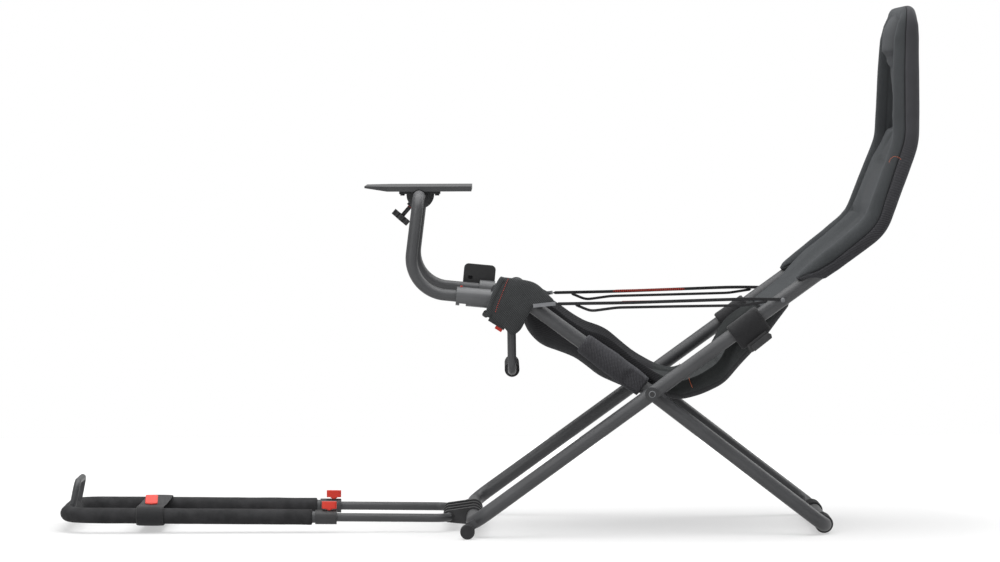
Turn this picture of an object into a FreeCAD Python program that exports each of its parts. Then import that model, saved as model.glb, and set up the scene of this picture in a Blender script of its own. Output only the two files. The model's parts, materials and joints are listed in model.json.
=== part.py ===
import FreeCAD, Part
import os
from math import cos, degrees, radians, sin, tan

# Folding racing seat: an X frame with a fabric seat and back, a wheel plate on a sliding arm,
# and a telescoping pedal frame. Millimetres, +Z up, +X towards the backrest, pedals at -X.
# Left and right are the driver's own, so left is -Y. The floor is Z = 0.

os.makedirs("parts", exist_ok=True)

# shared clearances
gap = 0.3                 # between pieces that move past each other
bush_gap = 0.1            # between a tube and the bush it runs in

# frame tubes and where the two frames cross
tube_r = 13.3
tube_wall = 1.5
pivot_x = 300.0
pivot_z = 266.9
main_half = 250.0         # centre plane to a main tube
washer_thick = 3.0        # between a main tube and its leg tube
leg_half = main_half - 2 * tube_r - washer_thick   # centre plane to a leg tube
back_slope = 35.8         # main tubes above the floor, degrees
leg_slope = 37.6          # leg tubes above the floor, below the pivot, degrees
seat_slope = 36.4         # leg tubes above the pivot, past a slight bend
main_lower = 410.5        # pivot to the front crossbar, along the tube
main_upper = 320.0        # pivot to the back hoop joint, along the tube
leg_lower = 409.6         # pivot to the rear crossbar, along the tube
leg_upper = 310.0         # pivot to the seat front bar, along the tube
corner_r = 38.0           # bends at the frame's crossbars

# back hoop, from the joint up to the head
hoop_low_run = 200.9      # joint to the lower bend
hoop_mid_run = 173.0      # lower bend to the upper bend
hoop_mid_slope = 69.0
hoop_top_run = 235.0      # upper bend to the head crossbar
hoop_top_slope = 88.9
hoop_bend_r = 110.0
head_corner_r = 55.0
shoulder_half = 215.0     # centre plane to the hoop at its upper bend
head_half = 150.0         # centre plane to the hoop at the head

# feet
front_foot_r = 13.5
front_foot_len = 21.0
foot_lug_thick = 4.0
foot_pin_r = 4.0
rear_grip_r = 17.0
rear_grip_len = 80.0

# pivot bolts
bolt_r = 4.0
bolt_head_r = 13.0
bolt_head_thick = 3.5
socket_r = 3.4
nut_r = 8.0
nut_thick = 6.0
washer_r = 12.0

# padding
bolster_front = 33.0      # tube centre to the bolster's front
bolster_rear = 14.6
bolster_half = 21.0
panel_thick = 24.0
panel_lap = 24.0          # back panel past the hoop's upper bend
panel_drop = 14.0         # back panel below the joint of hoop and main tube
bolster_rise = 18.0       # the joint of hoop and main tube up to the bolster's lower end
head_front = 37.0
head_rear = 14.6
head_over = 21.0          # head cushion above the head crossbar's centre
neck_half = 78.0
rear_thick = 36.0
roll_thick = 3.5
sleeve_pad = 9.0          # padding round a leg tube
seat_half = leg_half - tube_r - sleeve_pad - gap   # the front pad lies against the leg sleeves
rear_half = leg_half - tube_r - nut_thick - 2.0 - gap
sleeve_run = (40.0, 159.0)
band_run = (186.0, 248.0) # strap round a main tube, measured from the pivot
band_thick = 7.0

# seat pads, seen from the left: X, Z
front_pad = ((70, 443), (79, 450), (115, 426), (213, 368), (296, 304), (296, 262), (210, 291),
             (168, 323), (100, 348), (70, 372))
rear_pad = ((304, 277), (358, 274), (424, 301), (500, 368), (540, 424))
rear_bend_r = 40.0

# cover round the seat's front corners
flap_thick = 7.0
flap_top = 35.0           # seat front bar up to the left flap's top edge
flap_low = 20.0           # the right flap's top edge is this much lower
flap_out = tube_r + gap   # leg tube centre to the flap's inner face

# side straps
strap_front_x = 122.0
strap_front_z = 434.0
strap_rear_run = 298.0    # pivot to the rear rivet, along the main tube
strap_width = 5.0
strap_thick = 3.0
strap_drop = 12.0         # lower strand below the upper one

# wheel carrier, hinged on the seat front bar
arm_step = 14.0           # leg tube to wheel arm, centre to centre
arm_half = leg_half - arm_step
arm_slope = 5.5
sleeve_r = 17.5
left_sleeve_len = 63.0
right_sleeve_len = 30.0
right_sleeve_back = 41.0  # right sleeve starts this far behind the left one
carrier_reach = 112.4     # seat front bar to the outer end of the left sleeve
carrier_drop = 13.4       # the arm's centre line passes this far below the seat front bar
stub_len = 14.0
stub_wall = 3.0
heel_r = 12.0             # cheek's lower end, above the stop bar
cheek_thick = 12.0
cheek_step = 24.0         # wheel arm's centre to a cheek's inner face
cheek_inner = arm_half - cheek_step
hub_r = 16.8
stop_r = 8.0
stop_half = cheek_inner - 6.0
stop_len = 105.0          # cheek's lower end to the stop bar's cross run
stop_corner_r = 22.0
roller_r = 14.0
roller_half = 120.0
latch_len = 34.0
latch_high = 16.0
latch_arm = 3.0           # the plate that holds the latch on its cheek
latch_wide = 24.0
button_wide = 14.0
button_high = 10.0
plunger_r = 3.0
plunger_knob_r = 6.5
shifter_len = 62.0
shifter_high = 60.0
shifter_thick = 4.0
shifter_corner_r = 9.0

# wheel arm
arm_r = 11.0
arm_wall = 1.5
arm_run = 92.0            # left sleeve's outer end to the elbow's corner
arm_inside = 73.0         # tube behind the left sleeve's outer end
arm_lean = 7.1            # upright from the vertical
arm_rise = 177.0          # elbow's corner to the top crossbar
elbow_r = 68.0
arm_corner_r = 30.0

# wheel plate and its clamp
plate_long = 202.0
plate_wide = 280.0
plate_skin = 3.5
plate_rim = 9.5
plate_rim_wall = 3.0
plate_rise = 14.7         # crossbar's centre to the underside of the plate
plate_back = 98.0         # crossbar to the plate's rear edge
plate_cut = 44.0
plate_hole_r = 3.25
plate_hole_x = 90.0
plate_hole_y = 150.0
flange_thick = 13.0
flange_long = 78.0
saddle_r = 26.0
saddle_wide = 54.0
knob_angle = 49.0         # clamp screw below the horizontal
knob_r = 19.0
knob_thick = 11.0
knob_reach = 57.0         # crossbar to the knob's middle
screw_r = 4.0

# pedal frame
rail_half = 125.0
rail_slope = 0.6
inner_r = 8.0
inner_wall = 1.5
outer_r = 11.0
outer_wall = 1.5
foam_r = 14.75
collar_r = 13.5
collar_len = 36.2
hinge_reach = 46.0        # front crossbar to the inner frame's cross run
hinge_drop = 1.3
collar_reach = 261.5      # front crossbar to the rear end of the collars
rail_reach = 768.0        # front crossbar to the end of the outer frame
inner_reach = 560.0       # front crossbar to the ends of the inner tubes
rail_corner_r = 50.0
inner_corner_r = 26.0
link_wide = 14.0
link_r = 17.0
link_places = (-85.0, -30.0, 30.0, 85.0)
hoop_half = 62.0
hoop_high = 59.5
hoop_back = 5.0           # end run to the foot of the hoop
hoop_r = 6.2
hoop_lean = 10.9
strap_place = 609.0       # front crossbar to the heel strap's middle
heel_strap_wide = 52.0
heel_strap_thick = 3.0
strap_tab_long = 24.0
strap_tab_wide = 26.0
strap_tab_tilt = 40.0     # the tab stands up from the strap towards the right, degrees
knob_stem_r = 4.0
tee_long = 28.0
tee_high = 13.0
tee_neck = 3.0            # a collar to the underside of its lock knob's tee
tee_wide = 13.0
knob_place = 10.2         # from a collar's rear end

sides = (("left", -1.0), ("right", 1.0))


def at(x, y, z):
    return FreeCAD.Vector(x, y, z)


along_y = at(0, 1, 0)
pivot = at(pivot_x, 0, pivot_z)
main_way = at(cos(radians(back_slope)), 0, sin(radians(back_slope)))     # up the back
leg_way = at(cos(radians(leg_slope)), 0, -sin(radians(leg_slope)))       # down to the rear foot
seat_way = at(cos(radians(seat_slope)), 0, -sin(radians(seat_slope)))    # seat front bar to the pivot
front_bar = pivot - main_way * main_lower
rear_bar = pivot + leg_way * leg_lower
seat_bar = pivot - seat_way * leg_upper
hoop_joint = pivot + main_way * main_upper
arm_way = at(-cos(radians(arm_slope)), 0, sin(radians(arm_slope)))       # out along the arm
arm_up = at(sin(radians(arm_slope)), 0, cos(radians(arm_slope)))
rail_way = at(-cos(radians(rail_slope)), 0, sin(radians(rail_slope)))    # out along the pedal rails
rail_up = at(sin(radians(rail_slope)), 0, cos(radians(rail_slope)))


def shifted(point, y):
    return at(point.x, y, point.z)


def save(name, shape):
    solids = shape.Solids
    if not shape.isValid() or not solids:
        raise ValueError(name + " is not a valid solid")
    whole = solids[0] if len(solids) == 1 else Part.makeCompound(solids)
    whole.exportStep("parts/" + name + ".step")
    print(name, len(solids), round(whole.Volume / 1000.0, 2), "cm3")


def rod(start, end, radius):
    return Part.makeCylinder(radius, (end - start).Length, start, end - start)


def ring(start, end, radius, bore):
    return rod(start, end, radius).cut(rod(start, end, bore))


def disc(centre, way, radius):
    return Part.Face(Part.Wire(Part.makeCircle(radius, centre, way)))


def sweep(face, points, bend_r):
    # carries the face along straight runs joined by arcs of one radius
    pieces = []
    start = points[0]
    for before, corner, after in zip(points, points[1:], points[2:]):
        way_in = (corner - before).normalize()
        way_out = (after - corner).normalize()
        turn = way_in.getAngle(way_out)
        back_off = bend_r * tan(turn / 2)
        bend_start = corner - way_in * back_off
        axis = way_in.cross(way_out).normalize()
        centre = bend_start + axis.cross(way_in) * bend_r
        run = bend_start - start
        if run.Length > 0.01:
            pieces.append(face.extrude(run))
            face = face.translated(run)
        pieces.append(face.revolve(centre, axis, degrees(turn)))
        face = face.rotated(centre, axis, degrees(turn))
        start = corner + way_out * back_off
    run = points[-1] - start
    if run.Length > 0.01:
        pieces.append(face.extrude(run))
    if len(pieces) == 1:
        return pieces[0]
    return pieces[0].multiFuse(pieces[1:]).removeSplitter()


def bent_rod(points, bend_r, radius):
    return sweep(disc(points[0], points[1] - points[0], radius), points, bend_r)


def bent_tube(points, bend_r, radius, wall):
    return bent_rod(points, bend_r, radius).cut(bent_rod(points, bend_r, radius - wall))


def frame_tube(points):
    return bent_tube(points, corner_r, tube_r, tube_wall)


def block(centre, way, up, long, wide, high):
    # a box with its length along way, its height along up and its width along Y
    side = up.cross(way).normalize()
    low = centre - way * (long / 2) - side * (wide / 2) - up * (high / 2)
    corners = [low, low + way * long, low + way * long + side * wide, low + side * wide, low]
    return Part.Face(Part.makePolygon(corners)).extrude(up * high)


def strip(points, bend_r, half, thick):
    # a flat band across the seat, bent along its length in the XZ plane
    way = (points[1] - points[0]).normalize()
    up = way.cross(along_y).normalize()
    first = shifted(points[0], -half) - up * (thick / 2)
    corners = [first, first + along_y * (2 * half), first + along_y * (2 * half) + up * thick,
               first + up * thick, first]
    return sweep(Part.Face(Part.makePolygon(corners)), points, bend_r)


def main_tube(side):
    y = side * main_half
    bend_end = front_bar + main_way * corner_r
    tube = frame_tube([shifted(bend_end, y), shifted(hoop_joint, y)])
    return tube.cut(rod(shifted(pivot, y - tube_r * 2), shifted(pivot, y + tube_r * 2), bolt_r))


def front_crossbar():
    points = [shifted(front_bar + main_way * corner_r, -main_half), shifted(front_bar, -main_half),
              shifted(front_bar, main_half), shifted(front_bar + main_way * corner_r, main_half)]
    return frame_tube(points)


def hoop_points(side):
    low = hoop_joint + main_way * hoop_low_run
    mid_way = at(cos(radians(hoop_mid_slope)), 0, sin(radians(hoop_mid_slope)))
    top_way = at(cos(radians(hoop_top_slope)), 0, sin(radians(hoop_top_slope)))
    upper = low + mid_way * hoop_mid_run
    top = upper + top_way * hoop_top_run
    return [shifted(hoop_joint, side * main_half), shifted(low, side * main_half),
            shifted(upper, side * shoulder_half), shifted(top, side * head_half)]


def hoop_end(side):
    points = hoop_points(side)
    lean = (points[3] - points[2]).normalize()
    turn = lean.getAngle(along_y * -side)
    return points[3] - lean * (head_corner_r * tan(turn / 2)), lean


def back_hoop(side):
    points = hoop_points(side)[:3] + [hoop_end(side)[0]]
    return bent_tube(points, hoop_bend_r, tube_r, tube_wall)


def head_crossbar():
    points = [hoop_end(-1)[0], hoop_points(-1)[3], hoop_points(1)[3], hoop_end(1)[0]]
    return bent_tube(points, head_corner_r, tube_r, tube_wall)


def foot_centre(side):
    x = front_bar.x - front_foot_r * 0.75
    return at(x, side * main_half, front_foot_r)


def front_foot_lugs():
    # a plate under each front corner, with the pin that carries the foot
    lugs = []
    for name, side in sides:
        centre = foot_centre(side)
        top = shifted(front_bar + main_way * corner_r, side * main_half)
        low = centre - along_y * (foot_lug_thick / 2)
        eye = rod(low, low + along_y * foot_lug_thick, foot_pin_r * 2)
        corners = [at(low.x - foot_pin_r, low.y, low.z), at(low.x - foot_pin_r, low.y, front_bar.z),
                   at(top.x, low.y, top.z), at(low.x + foot_pin_r * 2, low.y, low.z - foot_pin_r)]
        web = Part.Face(Part.makePolygon(corners + corners[:1])).extrude(along_y * foot_lug_thick)
        outer = shifted(centre, side * (main_half + tube_r + front_foot_len))
        pin = rod(centre, outer - along_y * (side * 2.0), foot_pin_r)
        points = [shifted(front_bar + main_way * corner_r, side * main_half),
                  shifted(front_bar, side * main_half), shifted(front_bar, 0)]
        tube = bent_rod(points, corner_r, tube_r).fuse(rod(top, top + main_way * corner_r, tube_r))
        lugs.append(eye.fuse([web, pin]).cut(tube))
    return Part.makeCompound(lugs)


def front_feet():
    feet = []
    for name, side in sides:
        inner = shifted(foot_centre(side), side * (main_half + tube_r + gap))
        outer = shifted(inner, side * (main_half + tube_r + front_foot_len))
        foot = rod(inner, outer, front_foot_r)
        rim = [e for e in foot.Edges if abs(e.CenterOfMass.y - outer.y) < 0.01]
        foot = foot.makeFillet(2.0, rim)
        feet.append(foot.cut(rod(inner, outer - along_y * (side * 2.0), foot_pin_r)))
    return Part.makeCompound(feet)


def pivot_bolts():
    # socket-head bolt, washer between the tubes, and nut, on each side
    pieces = []
    for name, side in sides:
        face_y = side * (main_half + tube_r)
        end_y = side * (leg_half - tube_r - nut_thick - 2.0)
        shank = rod(shifted(pivot, face_y), shifted(pivot, end_y), bolt_r - bush_gap)
        head = rod(shifted(pivot, face_y), shifted(pivot, face_y + side * bolt_head_thick), bolt_head_r)
        seat = rod(shifted(pivot, side * main_half), shifted(pivot, face_y), bolt_head_r)
        tube = rod(shifted(pivot - main_way * bolt_head_r * 4, side * main_half),
                   shifted(pivot + main_way * bolt_head_r * 4, side * main_half), tube_r)
        socket = rod(shifted(pivot, face_y + side * 1.2), shifted(pivot, face_y + side * 9), socket_r)
        pieces.append(shank.fuse(head).fuse(seat.cut(tube)).cut(socket))
        inner = side * (leg_half - tube_r - gap)
        pieces.append(ring(shifted(pivot, inner), shifted(pivot, inner - side * nut_thick),
                           nut_r, bolt_r - bush_gap))
        pieces.append(ring(shifted(pivot, side * (main_half - tube_r)),
                           shifted(pivot, side * (leg_half + tube_r + gap)),
                           washer_r, bolt_r - bush_gap))
    return Part.makeCompound(pieces)


def leg_tube(side):
    y = side * leg_half
    top = shifted(seat_bar, y)
    tube = frame_tube([top, shifted(pivot, y), shifted(rear_bar - leg_way * corner_r, y)])
    cap = rod(top, top + seat_way * 4.0, tube_r - tube_wall)
    tube = tube.fuse(cap).removeSplitter()
    return tube.cut(rod(shifted(pivot, y - tube_r * 2), shifted(pivot, y + tube_r * 2), bolt_r))


def rear_crossbar():
    start = rear_bar - leg_way * corner_r
    points = [shifted(start, -leg_half), shifted(rear_bar, -leg_half),
              shifted(rear_bar, leg_half), shifted(start, leg_half)]
    return frame_tube(points)


def rear_grips():
    grips = []
    for name, side in sides:
        outer = side * (leg_half - corner_r)
        grips.append(ring(shifted(rear_bar, outer), shifted(rear_bar, outer - side * rear_grip_len),
                          rear_grip_r, tube_r))
    return Part.makeCompound(grips)


def seat_front_bar():
    bar = ring(shifted(seat_bar, -leg_half), shifted(seat_bar, leg_half), tube_r, tube_r - tube_wall)
    for name, side in sides:
        y = side * leg_half
        bar = bar.cut(rod(shifted(seat_bar - seat_way * 40, y), shifted(seat_bar + seat_way * 60, y), tube_r))
    return max(bar.Solids, key=lambda solid: solid.Volume)


def bolster_solid(side, half, rear, front):
    points = hoop_points(side)[:3] + [hoop_end(side)[0]]
    start = points[0] + main_way * bolster_rise
    ahead = main_way.cross(along_y)
    low = start - ahead * rear - along_y * half
    corners = [low, low + along_y * (2 * half), low + along_y * (2 * half) + ahead * (front + rear),
               low + ahead * (front + rear), low]
    return sweep(Part.Face(Part.makePolygon(corners)), [start] + points[1:], hoop_bend_r)


def bolster(side):
    # padding round the back hoop, with a bore for the tube
    points = hoop_points(side)[:3] + [hoop_end(side)[0]]
    pad = bolster_solid(side, bolster_half, bolster_rear, bolster_front)
    return pad.cut(bent_rod(points, hoop_bend_r, tube_r + gap))


def back_line():
    low = hoop_joint + main_way * hoop_low_run
    mid_way = at(cos(radians(hoop_mid_slope)), 0, sin(radians(hoop_mid_slope)))
    top_way = at(cos(radians(hoop_top_slope)), 0, sin(radians(hoop_top_slope)))
    upper = low + mid_way * hoop_mid_run
    return [hoop_joint - main_way * panel_drop, low, upper, upper + top_way * hoop_top_run], top_way


def back_panel():
    points, top_way = back_line()
    end = points[2] + top_way * panel_lap
    panel = strip(points[:3] + [end], hoop_bend_r, main_half - bolster_half, panel_thick)
    for name, side in sides:
        panel = panel.cut(bolster_solid(side, bolster_half + gap, bolster_front, bolster_front))
    return max(panel.Solids, key=lambda solid: solid.Volume)


def head_pad():
    # the head cushion round the top of the hoop, on a neck between two openings for a harness
    points, top_way = back_line()
    behind = along_y.cross(top_way) * -1
    behind = behind if behind.x > 0 else behind * -1
    level = at(hoop_end(1)[0].x, 0, hoop_end(1)[0].z) + top_way * gap
    rise = (points[3] - level).Length + head_over
    drop = (level - points[2]).Length - panel_lap - gap
    wide = hoop_end(1)[0].y + bolster_half
    outline = [(-neck_half, -drop), (neck_half, -drop), (neck_half, 0.0), (wide, 0.0),
               (wide - 8.0, rise * 0.45), (wide - 62.0, rise), (62.0 - wide, rise),
               (8.0 - wide, rise * 0.45), (-wide, 0.0), (-neck_half, 0.0)]
    start = level - behind * head_front
    corners = [start + along_y * y + top_way * z for y, z in outline]
    pad = Part.Face(Part.makePolygon(corners + corners[:1])).extrude(behind * (head_front + head_rear))
    hoop = [hoop_end(-1)[0], hoop_points(-1)[3], hoop_points(1)[3], hoop_end(1)[0]]
    pad = pad.cut(bent_rod(hoop, head_corner_r, tube_r + gap))
    for name, side in sides:
        pad = pad.cut(bolster_solid(side, bolster_half + gap, bolster_rear + gap, bolster_front + gap))
        pad = pad.cut(rod(hoop_points(side)[2], hoop_end(side)[0], tube_r + gap))
    return max(pad.Solids, key=lambda solid: solid.Volume)


def seat_front_pad():
    corners = [at(x, -seat_half, z) for x, z in front_pad]
    return Part.Face(Part.makePolygon(corners + corners[:1])).extrude(along_y * (2 * seat_half))


def seat_rear_pad():
    return strip([at(x, 0, z) for x, z in rear_pad], rear_bend_r, rear_half, rear_thick)


def seat_front_roll():
    # the padded cloth round the seat front bar, between the carrier's cheeks
    half = cheek_inner - gap - 4.0
    start = shifted(seat_bar, -half)
    return ring(start, shifted(seat_bar, half), tube_r + gap + roll_thick, tube_r + gap)


def corner_flap(side):
    # the padded cloth that closes a front corner of the seat, outside the leg tube
    inner = side * (leg_half + flap_out)
    top = flap_top
    outline = [(-31.0, top), (-18.0, top - 3.0), (27.0, top - 10.0), (54.0, 4.0), (73.0, -14.5),
               (31.0, -19.5), (5.5, -67.0), (-12.0, -78.0), (-25.0, -58.0), (-55.0, -44.0),
               (-56.0, -24.0), (-42.0, 11.0)]
    if side > 0:
        outline = [(x, z - flap_low * max(0.0, min(1.0, (z + 25.0) / 40.0))) for x, z in outline]
    corners = [at(seat_bar.x + x, inner, seat_bar.z + z) for x, z in outline]
    flap = Part.Face(Part.makePolygon(corners + corners[:1])).extrude(along_y * (side * flap_thick))
    upright = [e for e in flap.Edges if abs(e.tangentAt(e.FirstParameter).y) > 0.9]
    return flap.makeFillet(4.0, upright)


def leg_sleeve(side):
    # padded cloth round a leg tube, from the open stretch down to the pivot
    near, far = sleeve_run
    y = side * leg_half
    start = shifted(pivot - seat_way * far, y)
    end = shifted(pivot - seat_way * near, y)
    outer = rod(start, end, tube_r + sleeve_pad)
    return outer.cut(rod(start, end, tube_r + gap))


def back_band(side):
    # the closing strap round a main tube, where the seat meets the back, with its buckle plate
    near, far = band_run
    y = side * main_half
    start = shifted(pivot + main_way * near, y)
    end = shifted(pivot + main_way * far, y)
    middle = (start + end) * 0.5
    below = at(main_way.z, 0, -main_way.x)
    tail = block(middle + below * 24.0, main_way, below * -1, far - near, 10.0, 20.0)
    plate = block(middle + below * 39.0, main_way, below * -1, far - near - 6.0, 4.0, 14.0)
    outer = rod(start, end, tube_r + gap + band_thick)
    return outer.fuse([tail, plate]).cut(rod(start, end, tube_r + gap))


def strap_ends(side):
    front = at(strap_front_x, side * (leg_half + flap_out + flap_thick + 2.0), strap_front_z)
    face_y = side * (main_half + tube_r + bush_gap + strap_thick / 2)
    return front, shifted(pivot + main_way * strap_rear_run, face_y)


def strap_hooks():
    # the plate hooks where the side straps leave the seat's front corners
    hooks = []
    way = at(1, 0, 0.1).normalize()
    for name, side in sides:
        y = side * (leg_half + flap_out + flap_thick + 2.0)
        centre = at(strap_front_x - 21.0, y, strap_front_z - 1.0)
        hooks.append(block(centre, way, way.cross(along_y) * -1, 42.0, 4.0, 7.0))
    return Part.makeCompound(hooks)


def side_straps():
    # two flat straps on each side: the upper one runs to a rivet, the lower one is sewn to it
    straps = []
    for name, side in sides:
        front, rear = strap_ends(side)
        way = (rear - front).normalize()
        up = way.cross(along_y).normalize() * -1
        upper = block((front + rear) * 0.5, way, up, (rear - front).Length - 4.0, strap_thick, strap_width)
        below = up * -(strap_width + bush_gap)
        seam = front + way * 38.0 + below
        far_seam = rear - way * 36.0 + below
        points = [seam, seam + way * 34.0 - up * strap_drop, far_seam - way * 64.0 - up * (strap_drop / 2),
                  far_seam]
        first = (points[1] - points[0]).normalize()
        across = along_y * (strap_thick / 2)
        half = first.cross(along_y).normalize() * (strap_width / 2)
        corners = [seam - across - half, seam + across - half, seam + across + half, seam - across + half]
        lower = sweep(Part.Face(Part.makePolygon(corners + corners[:1])), points, 30.0)
        straps.extend([upper, lower])
    return Part.makeCompound(straps)


arm_axis = seat_bar - arm_up * carrier_drop        # the arm's centre line passes through here
sleeve_end = arm_axis + arm_way * carrier_reach


def sleeve_ends(side):
    start = shifted(sleeve_end, side * arm_half)
    if side < 0:
        return start, start - arm_way * left_sleeve_len
    start = start - arm_way * right_sleeve_back
    return start, start - arm_way * right_sleeve_len


def sleeve_stub(side):
    # the thinner end of a sleeve, welded to its cheek
    end = sleeve_ends(side)[1]
    return ring(end, end - arm_way * stub_len, arm_r + stub_wall, arm_r + bush_gap)


def left_sleeve():
    start, end = sleeve_ends(-1)
    body = ring(start, end, sleeve_r, arm_r + bush_gap)
    low = start - arm_up * sleeve_r
    notch = block(low - arm_way * 13.0, arm_way, arm_up, 12.0, 2 * sleeve_r, 9.0)
    slit = block(low - arm_way * 10.0, arm_way, arm_up, 20.2, 2.0, 22.0)
    return body.fuse(sleeve_stub(-1)).removeSplitter().cut(notch).cut(slit)


def right_sleeve():
    start, end = sleeve_ends(1)
    body = ring(start, end, sleeve_r, arm_r + bush_gap)
    return body.fuse(sleeve_stub(1)).removeSplitter()


def carrier_cheek(side):
    # joins a sleeve to the hub that turns on the seat front bar
    inner = side * cheek_inner
    wide = along_y * (side * cheek_thick)
    stub = sleeve_ends(side)[1] - arm_way * (stub_len / 2)
    nose_r = arm_r + stub_wall
    hub = Part.makeCylinder(hub_r, cheek_thick, shifted(seat_bar, inner), wide)
    nose = Part.makeCylinder(nose_r, cheek_thick, shifted(stub, inner), wide)
    heel = Part.makeCylinder(heel_r, cheek_thick, shifted(heel_place, inner), wide)
    body = hub.fuse(web_between(seat_bar, hub_r, stub, nose_r, inner, wide))
    body = body.fuse(web_between(seat_bar, hub_r, heel_place, heel_r, inner, wide)).fuse([nose, heel])
    start, end = sleeve_ends(side)
    tube = rod(shifted(stub + arm_way * 60, side * arm_half), shifted(stub - arm_way * 60, side * arm_half),
               nose_r).fuse(rod(start, end, sleeve_r))
    bore = Part.makeCylinder(tube_r + bush_gap, 3 * cheek_thick,
                             shifted(seat_bar, inner - side * cheek_thick), wide)
    post = rod(shifted(heel_place - at(0, 0, 40.0), side * stop_half),
               shifted(heel_place - at(0, 0, 2.9), side * stop_half), stop_r + bush_gap)
    return body.cut(bore).cut(tube).cut(post)


def web_between(a, a_r, b, b_r, y, wide):
    # a flat web that is tangent to two round bosses, near enough for a weld
    way = (shifted(b, 0) - shifted(a, 0)).normalize()
    up = at(-way.z, 0, way.x)
    corners = [shifted(a + up * a_r, y), shifted(b + up * b_r, y),
               shifted(b - up * b_r, y), shifted(a - up * a_r, y)]
    return Part.Face(Part.makePolygon(corners + corners[:1])).extrude(wide)


def stop_bar():
    top = heel_place - at(0, 0, 12.0)
    low = heel_place + at(1.0, 0, -stop_len)
    points = [shifted(top, -stop_half), shifted(low, -stop_half),
              shifted(low, stop_half), shifted(top, stop_half)]
    bar = bent_rod(points, stop_corner_r, stop_r)
    for name, side in sides:
        y = side * stop_half
        bar = bar.fuse(rod(shifted(top, y), shifted(top + at(0, 0, 9.0), y), stop_r))
        bar = bar.fuse(rod(shifted(heel_place - at(0, 0, 6.0), y),
                           shifted(heel_place - at(0, 0, 6.0), side * cheek_inner), 5.0))
    return bar.removeSplitter()


def stop_roller():
    low = heel_place + at(1.0, 0, -stop_len)
    return ring(shifted(low, -roller_half), shifted(low, roller_half), roller_r, stop_r)


latch_way = at(cos(radians(32.0)), 0, -sin(radians(32.0)))
latch_up = at(sin(radians(32.0)), 0, cos(radians(32.0)))
latch_centre = seat_bar + at(-35.5, -(cheek_inner + cheek_thick + latch_arm + latch_wide / 2), -50.4)
heel_place = seat_bar + at(-10.5, 0, -40.4)


def latch_block():
    body = block(latch_centre, latch_way, latch_up, latch_len, latch_wide, latch_high)
    window = block(latch_centre + latch_way * 8.0, latch_way, latch_up, button_wide + 2 * gap,
                   latch_wide * 0.6 + 2 * gap, latch_high * 3)
    roof = block(latch_centre + latch_way * 8.0 + latch_up * (latch_high * 0.5 + 2.0), latch_way,
                 latch_up, latch_len, latch_wide * 2, latch_high)
    hole = rod(latch_centre, latch_centre - latch_way * latch_len, plunger_r + bush_gap)
    outside = -(cheek_inner + cheek_thick)
    arm = web_between(latch_centre, 7.0, heel_place, 9.0, outside, along_y * -latch_arm)
    return body.fuse(arm).removeSplitter().cut(window.cut(roof)).cut(hole)


def release_button():
    low = latch_centre + latch_way * 8.0 - latch_up * (latch_high / 2 + 1.0)
    return block(low, latch_way, latch_up, button_wide, latch_wide * 0.6, button_high)


def release_plunger():
    start = latch_centre - latch_way * 3.0
    base = latch_centre - latch_way * (latch_len / 2 + 4.0)
    tip = base - latch_way * (plunger_knob_r * 1.8)
    knob = rod(base, tip, plunger_knob_r)
    rims = [e for e in knob.Edges if e.Closed and len(e.Vertexes) == 1]
    knob = knob.makeFillet(plunger_knob_r * 0.6, rims)
    return rod(start, base + (tip - base) * 0.5, plunger_r).fuse(knob)


def sleeve_button():
    base = sleeve_ends(-1)[0] - arm_way * 8.0 + arm_up * (sleeve_r + gap)
    return rod(base, base + arm_up * 2.0, 2.2)


def shifter_plate():
    y = arm_half + sleeve_r
    start, end = sleeve_ends(1)
    centre = shifted((start + end) * 0.5 + arm_way * 17.2 + arm_up * 17.0, y + shifter_thick / 2)
    plate = block(centre, arm_way, arm_up, shifter_len, shifter_thick, shifter_high)
    corners = [e for e in plate.Edges if abs(e.tangentAt(e.FirstParameter).y) > 0.9]
    plate = plate.makeFillet(shifter_corner_r, corners)
    face = shifted(centre, y)
    recess = block(face + arm_way * 17.5 + arm_up * 3.0, arm_way, arm_up, 10.0, shifter_thick, 7.0)
    return plate.cut(recess)


elbow = sleeve_end + arm_way * arm_run
arm_rise_way = at(sin(radians(arm_lean)), 0, cos(radians(arm_lean)))
arm_top = elbow + arm_rise_way * arm_rise


def arm_tube(side):
    y = side * arm_half
    points = [shifted(sleeve_end - arm_way * arm_inside, y), shifted(elbow, y),
              shifted(arm_top - arm_rise_way * arm_corner_r, y)]
    return bent_tube(points, elbow_r, arm_r, arm_wall)


def arm_crossbar():
    low = arm_top - arm_rise_way * arm_corner_r
    points = [shifted(low, -arm_half), shifted(arm_top, -arm_half),
              shifted(arm_top, arm_half), shifted(low, arm_half)]
    return bent_tube(points, arm_corner_r, arm_r, arm_wall)


plate_under = arm_top.z + plate_rise


def wheel_plate_outline(inset):
    rear = arm_top.x + plate_back - inset
    front = arm_top.x + plate_back - plate_long + inset
    half = plate_wide / 2 - inset
    cut = plate_cut - inset * 0.6
    return [(rear, -half), (rear, half), (front + cut, half), (front, half - cut),
            (front, cut - half), (front + cut, -half)]


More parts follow.
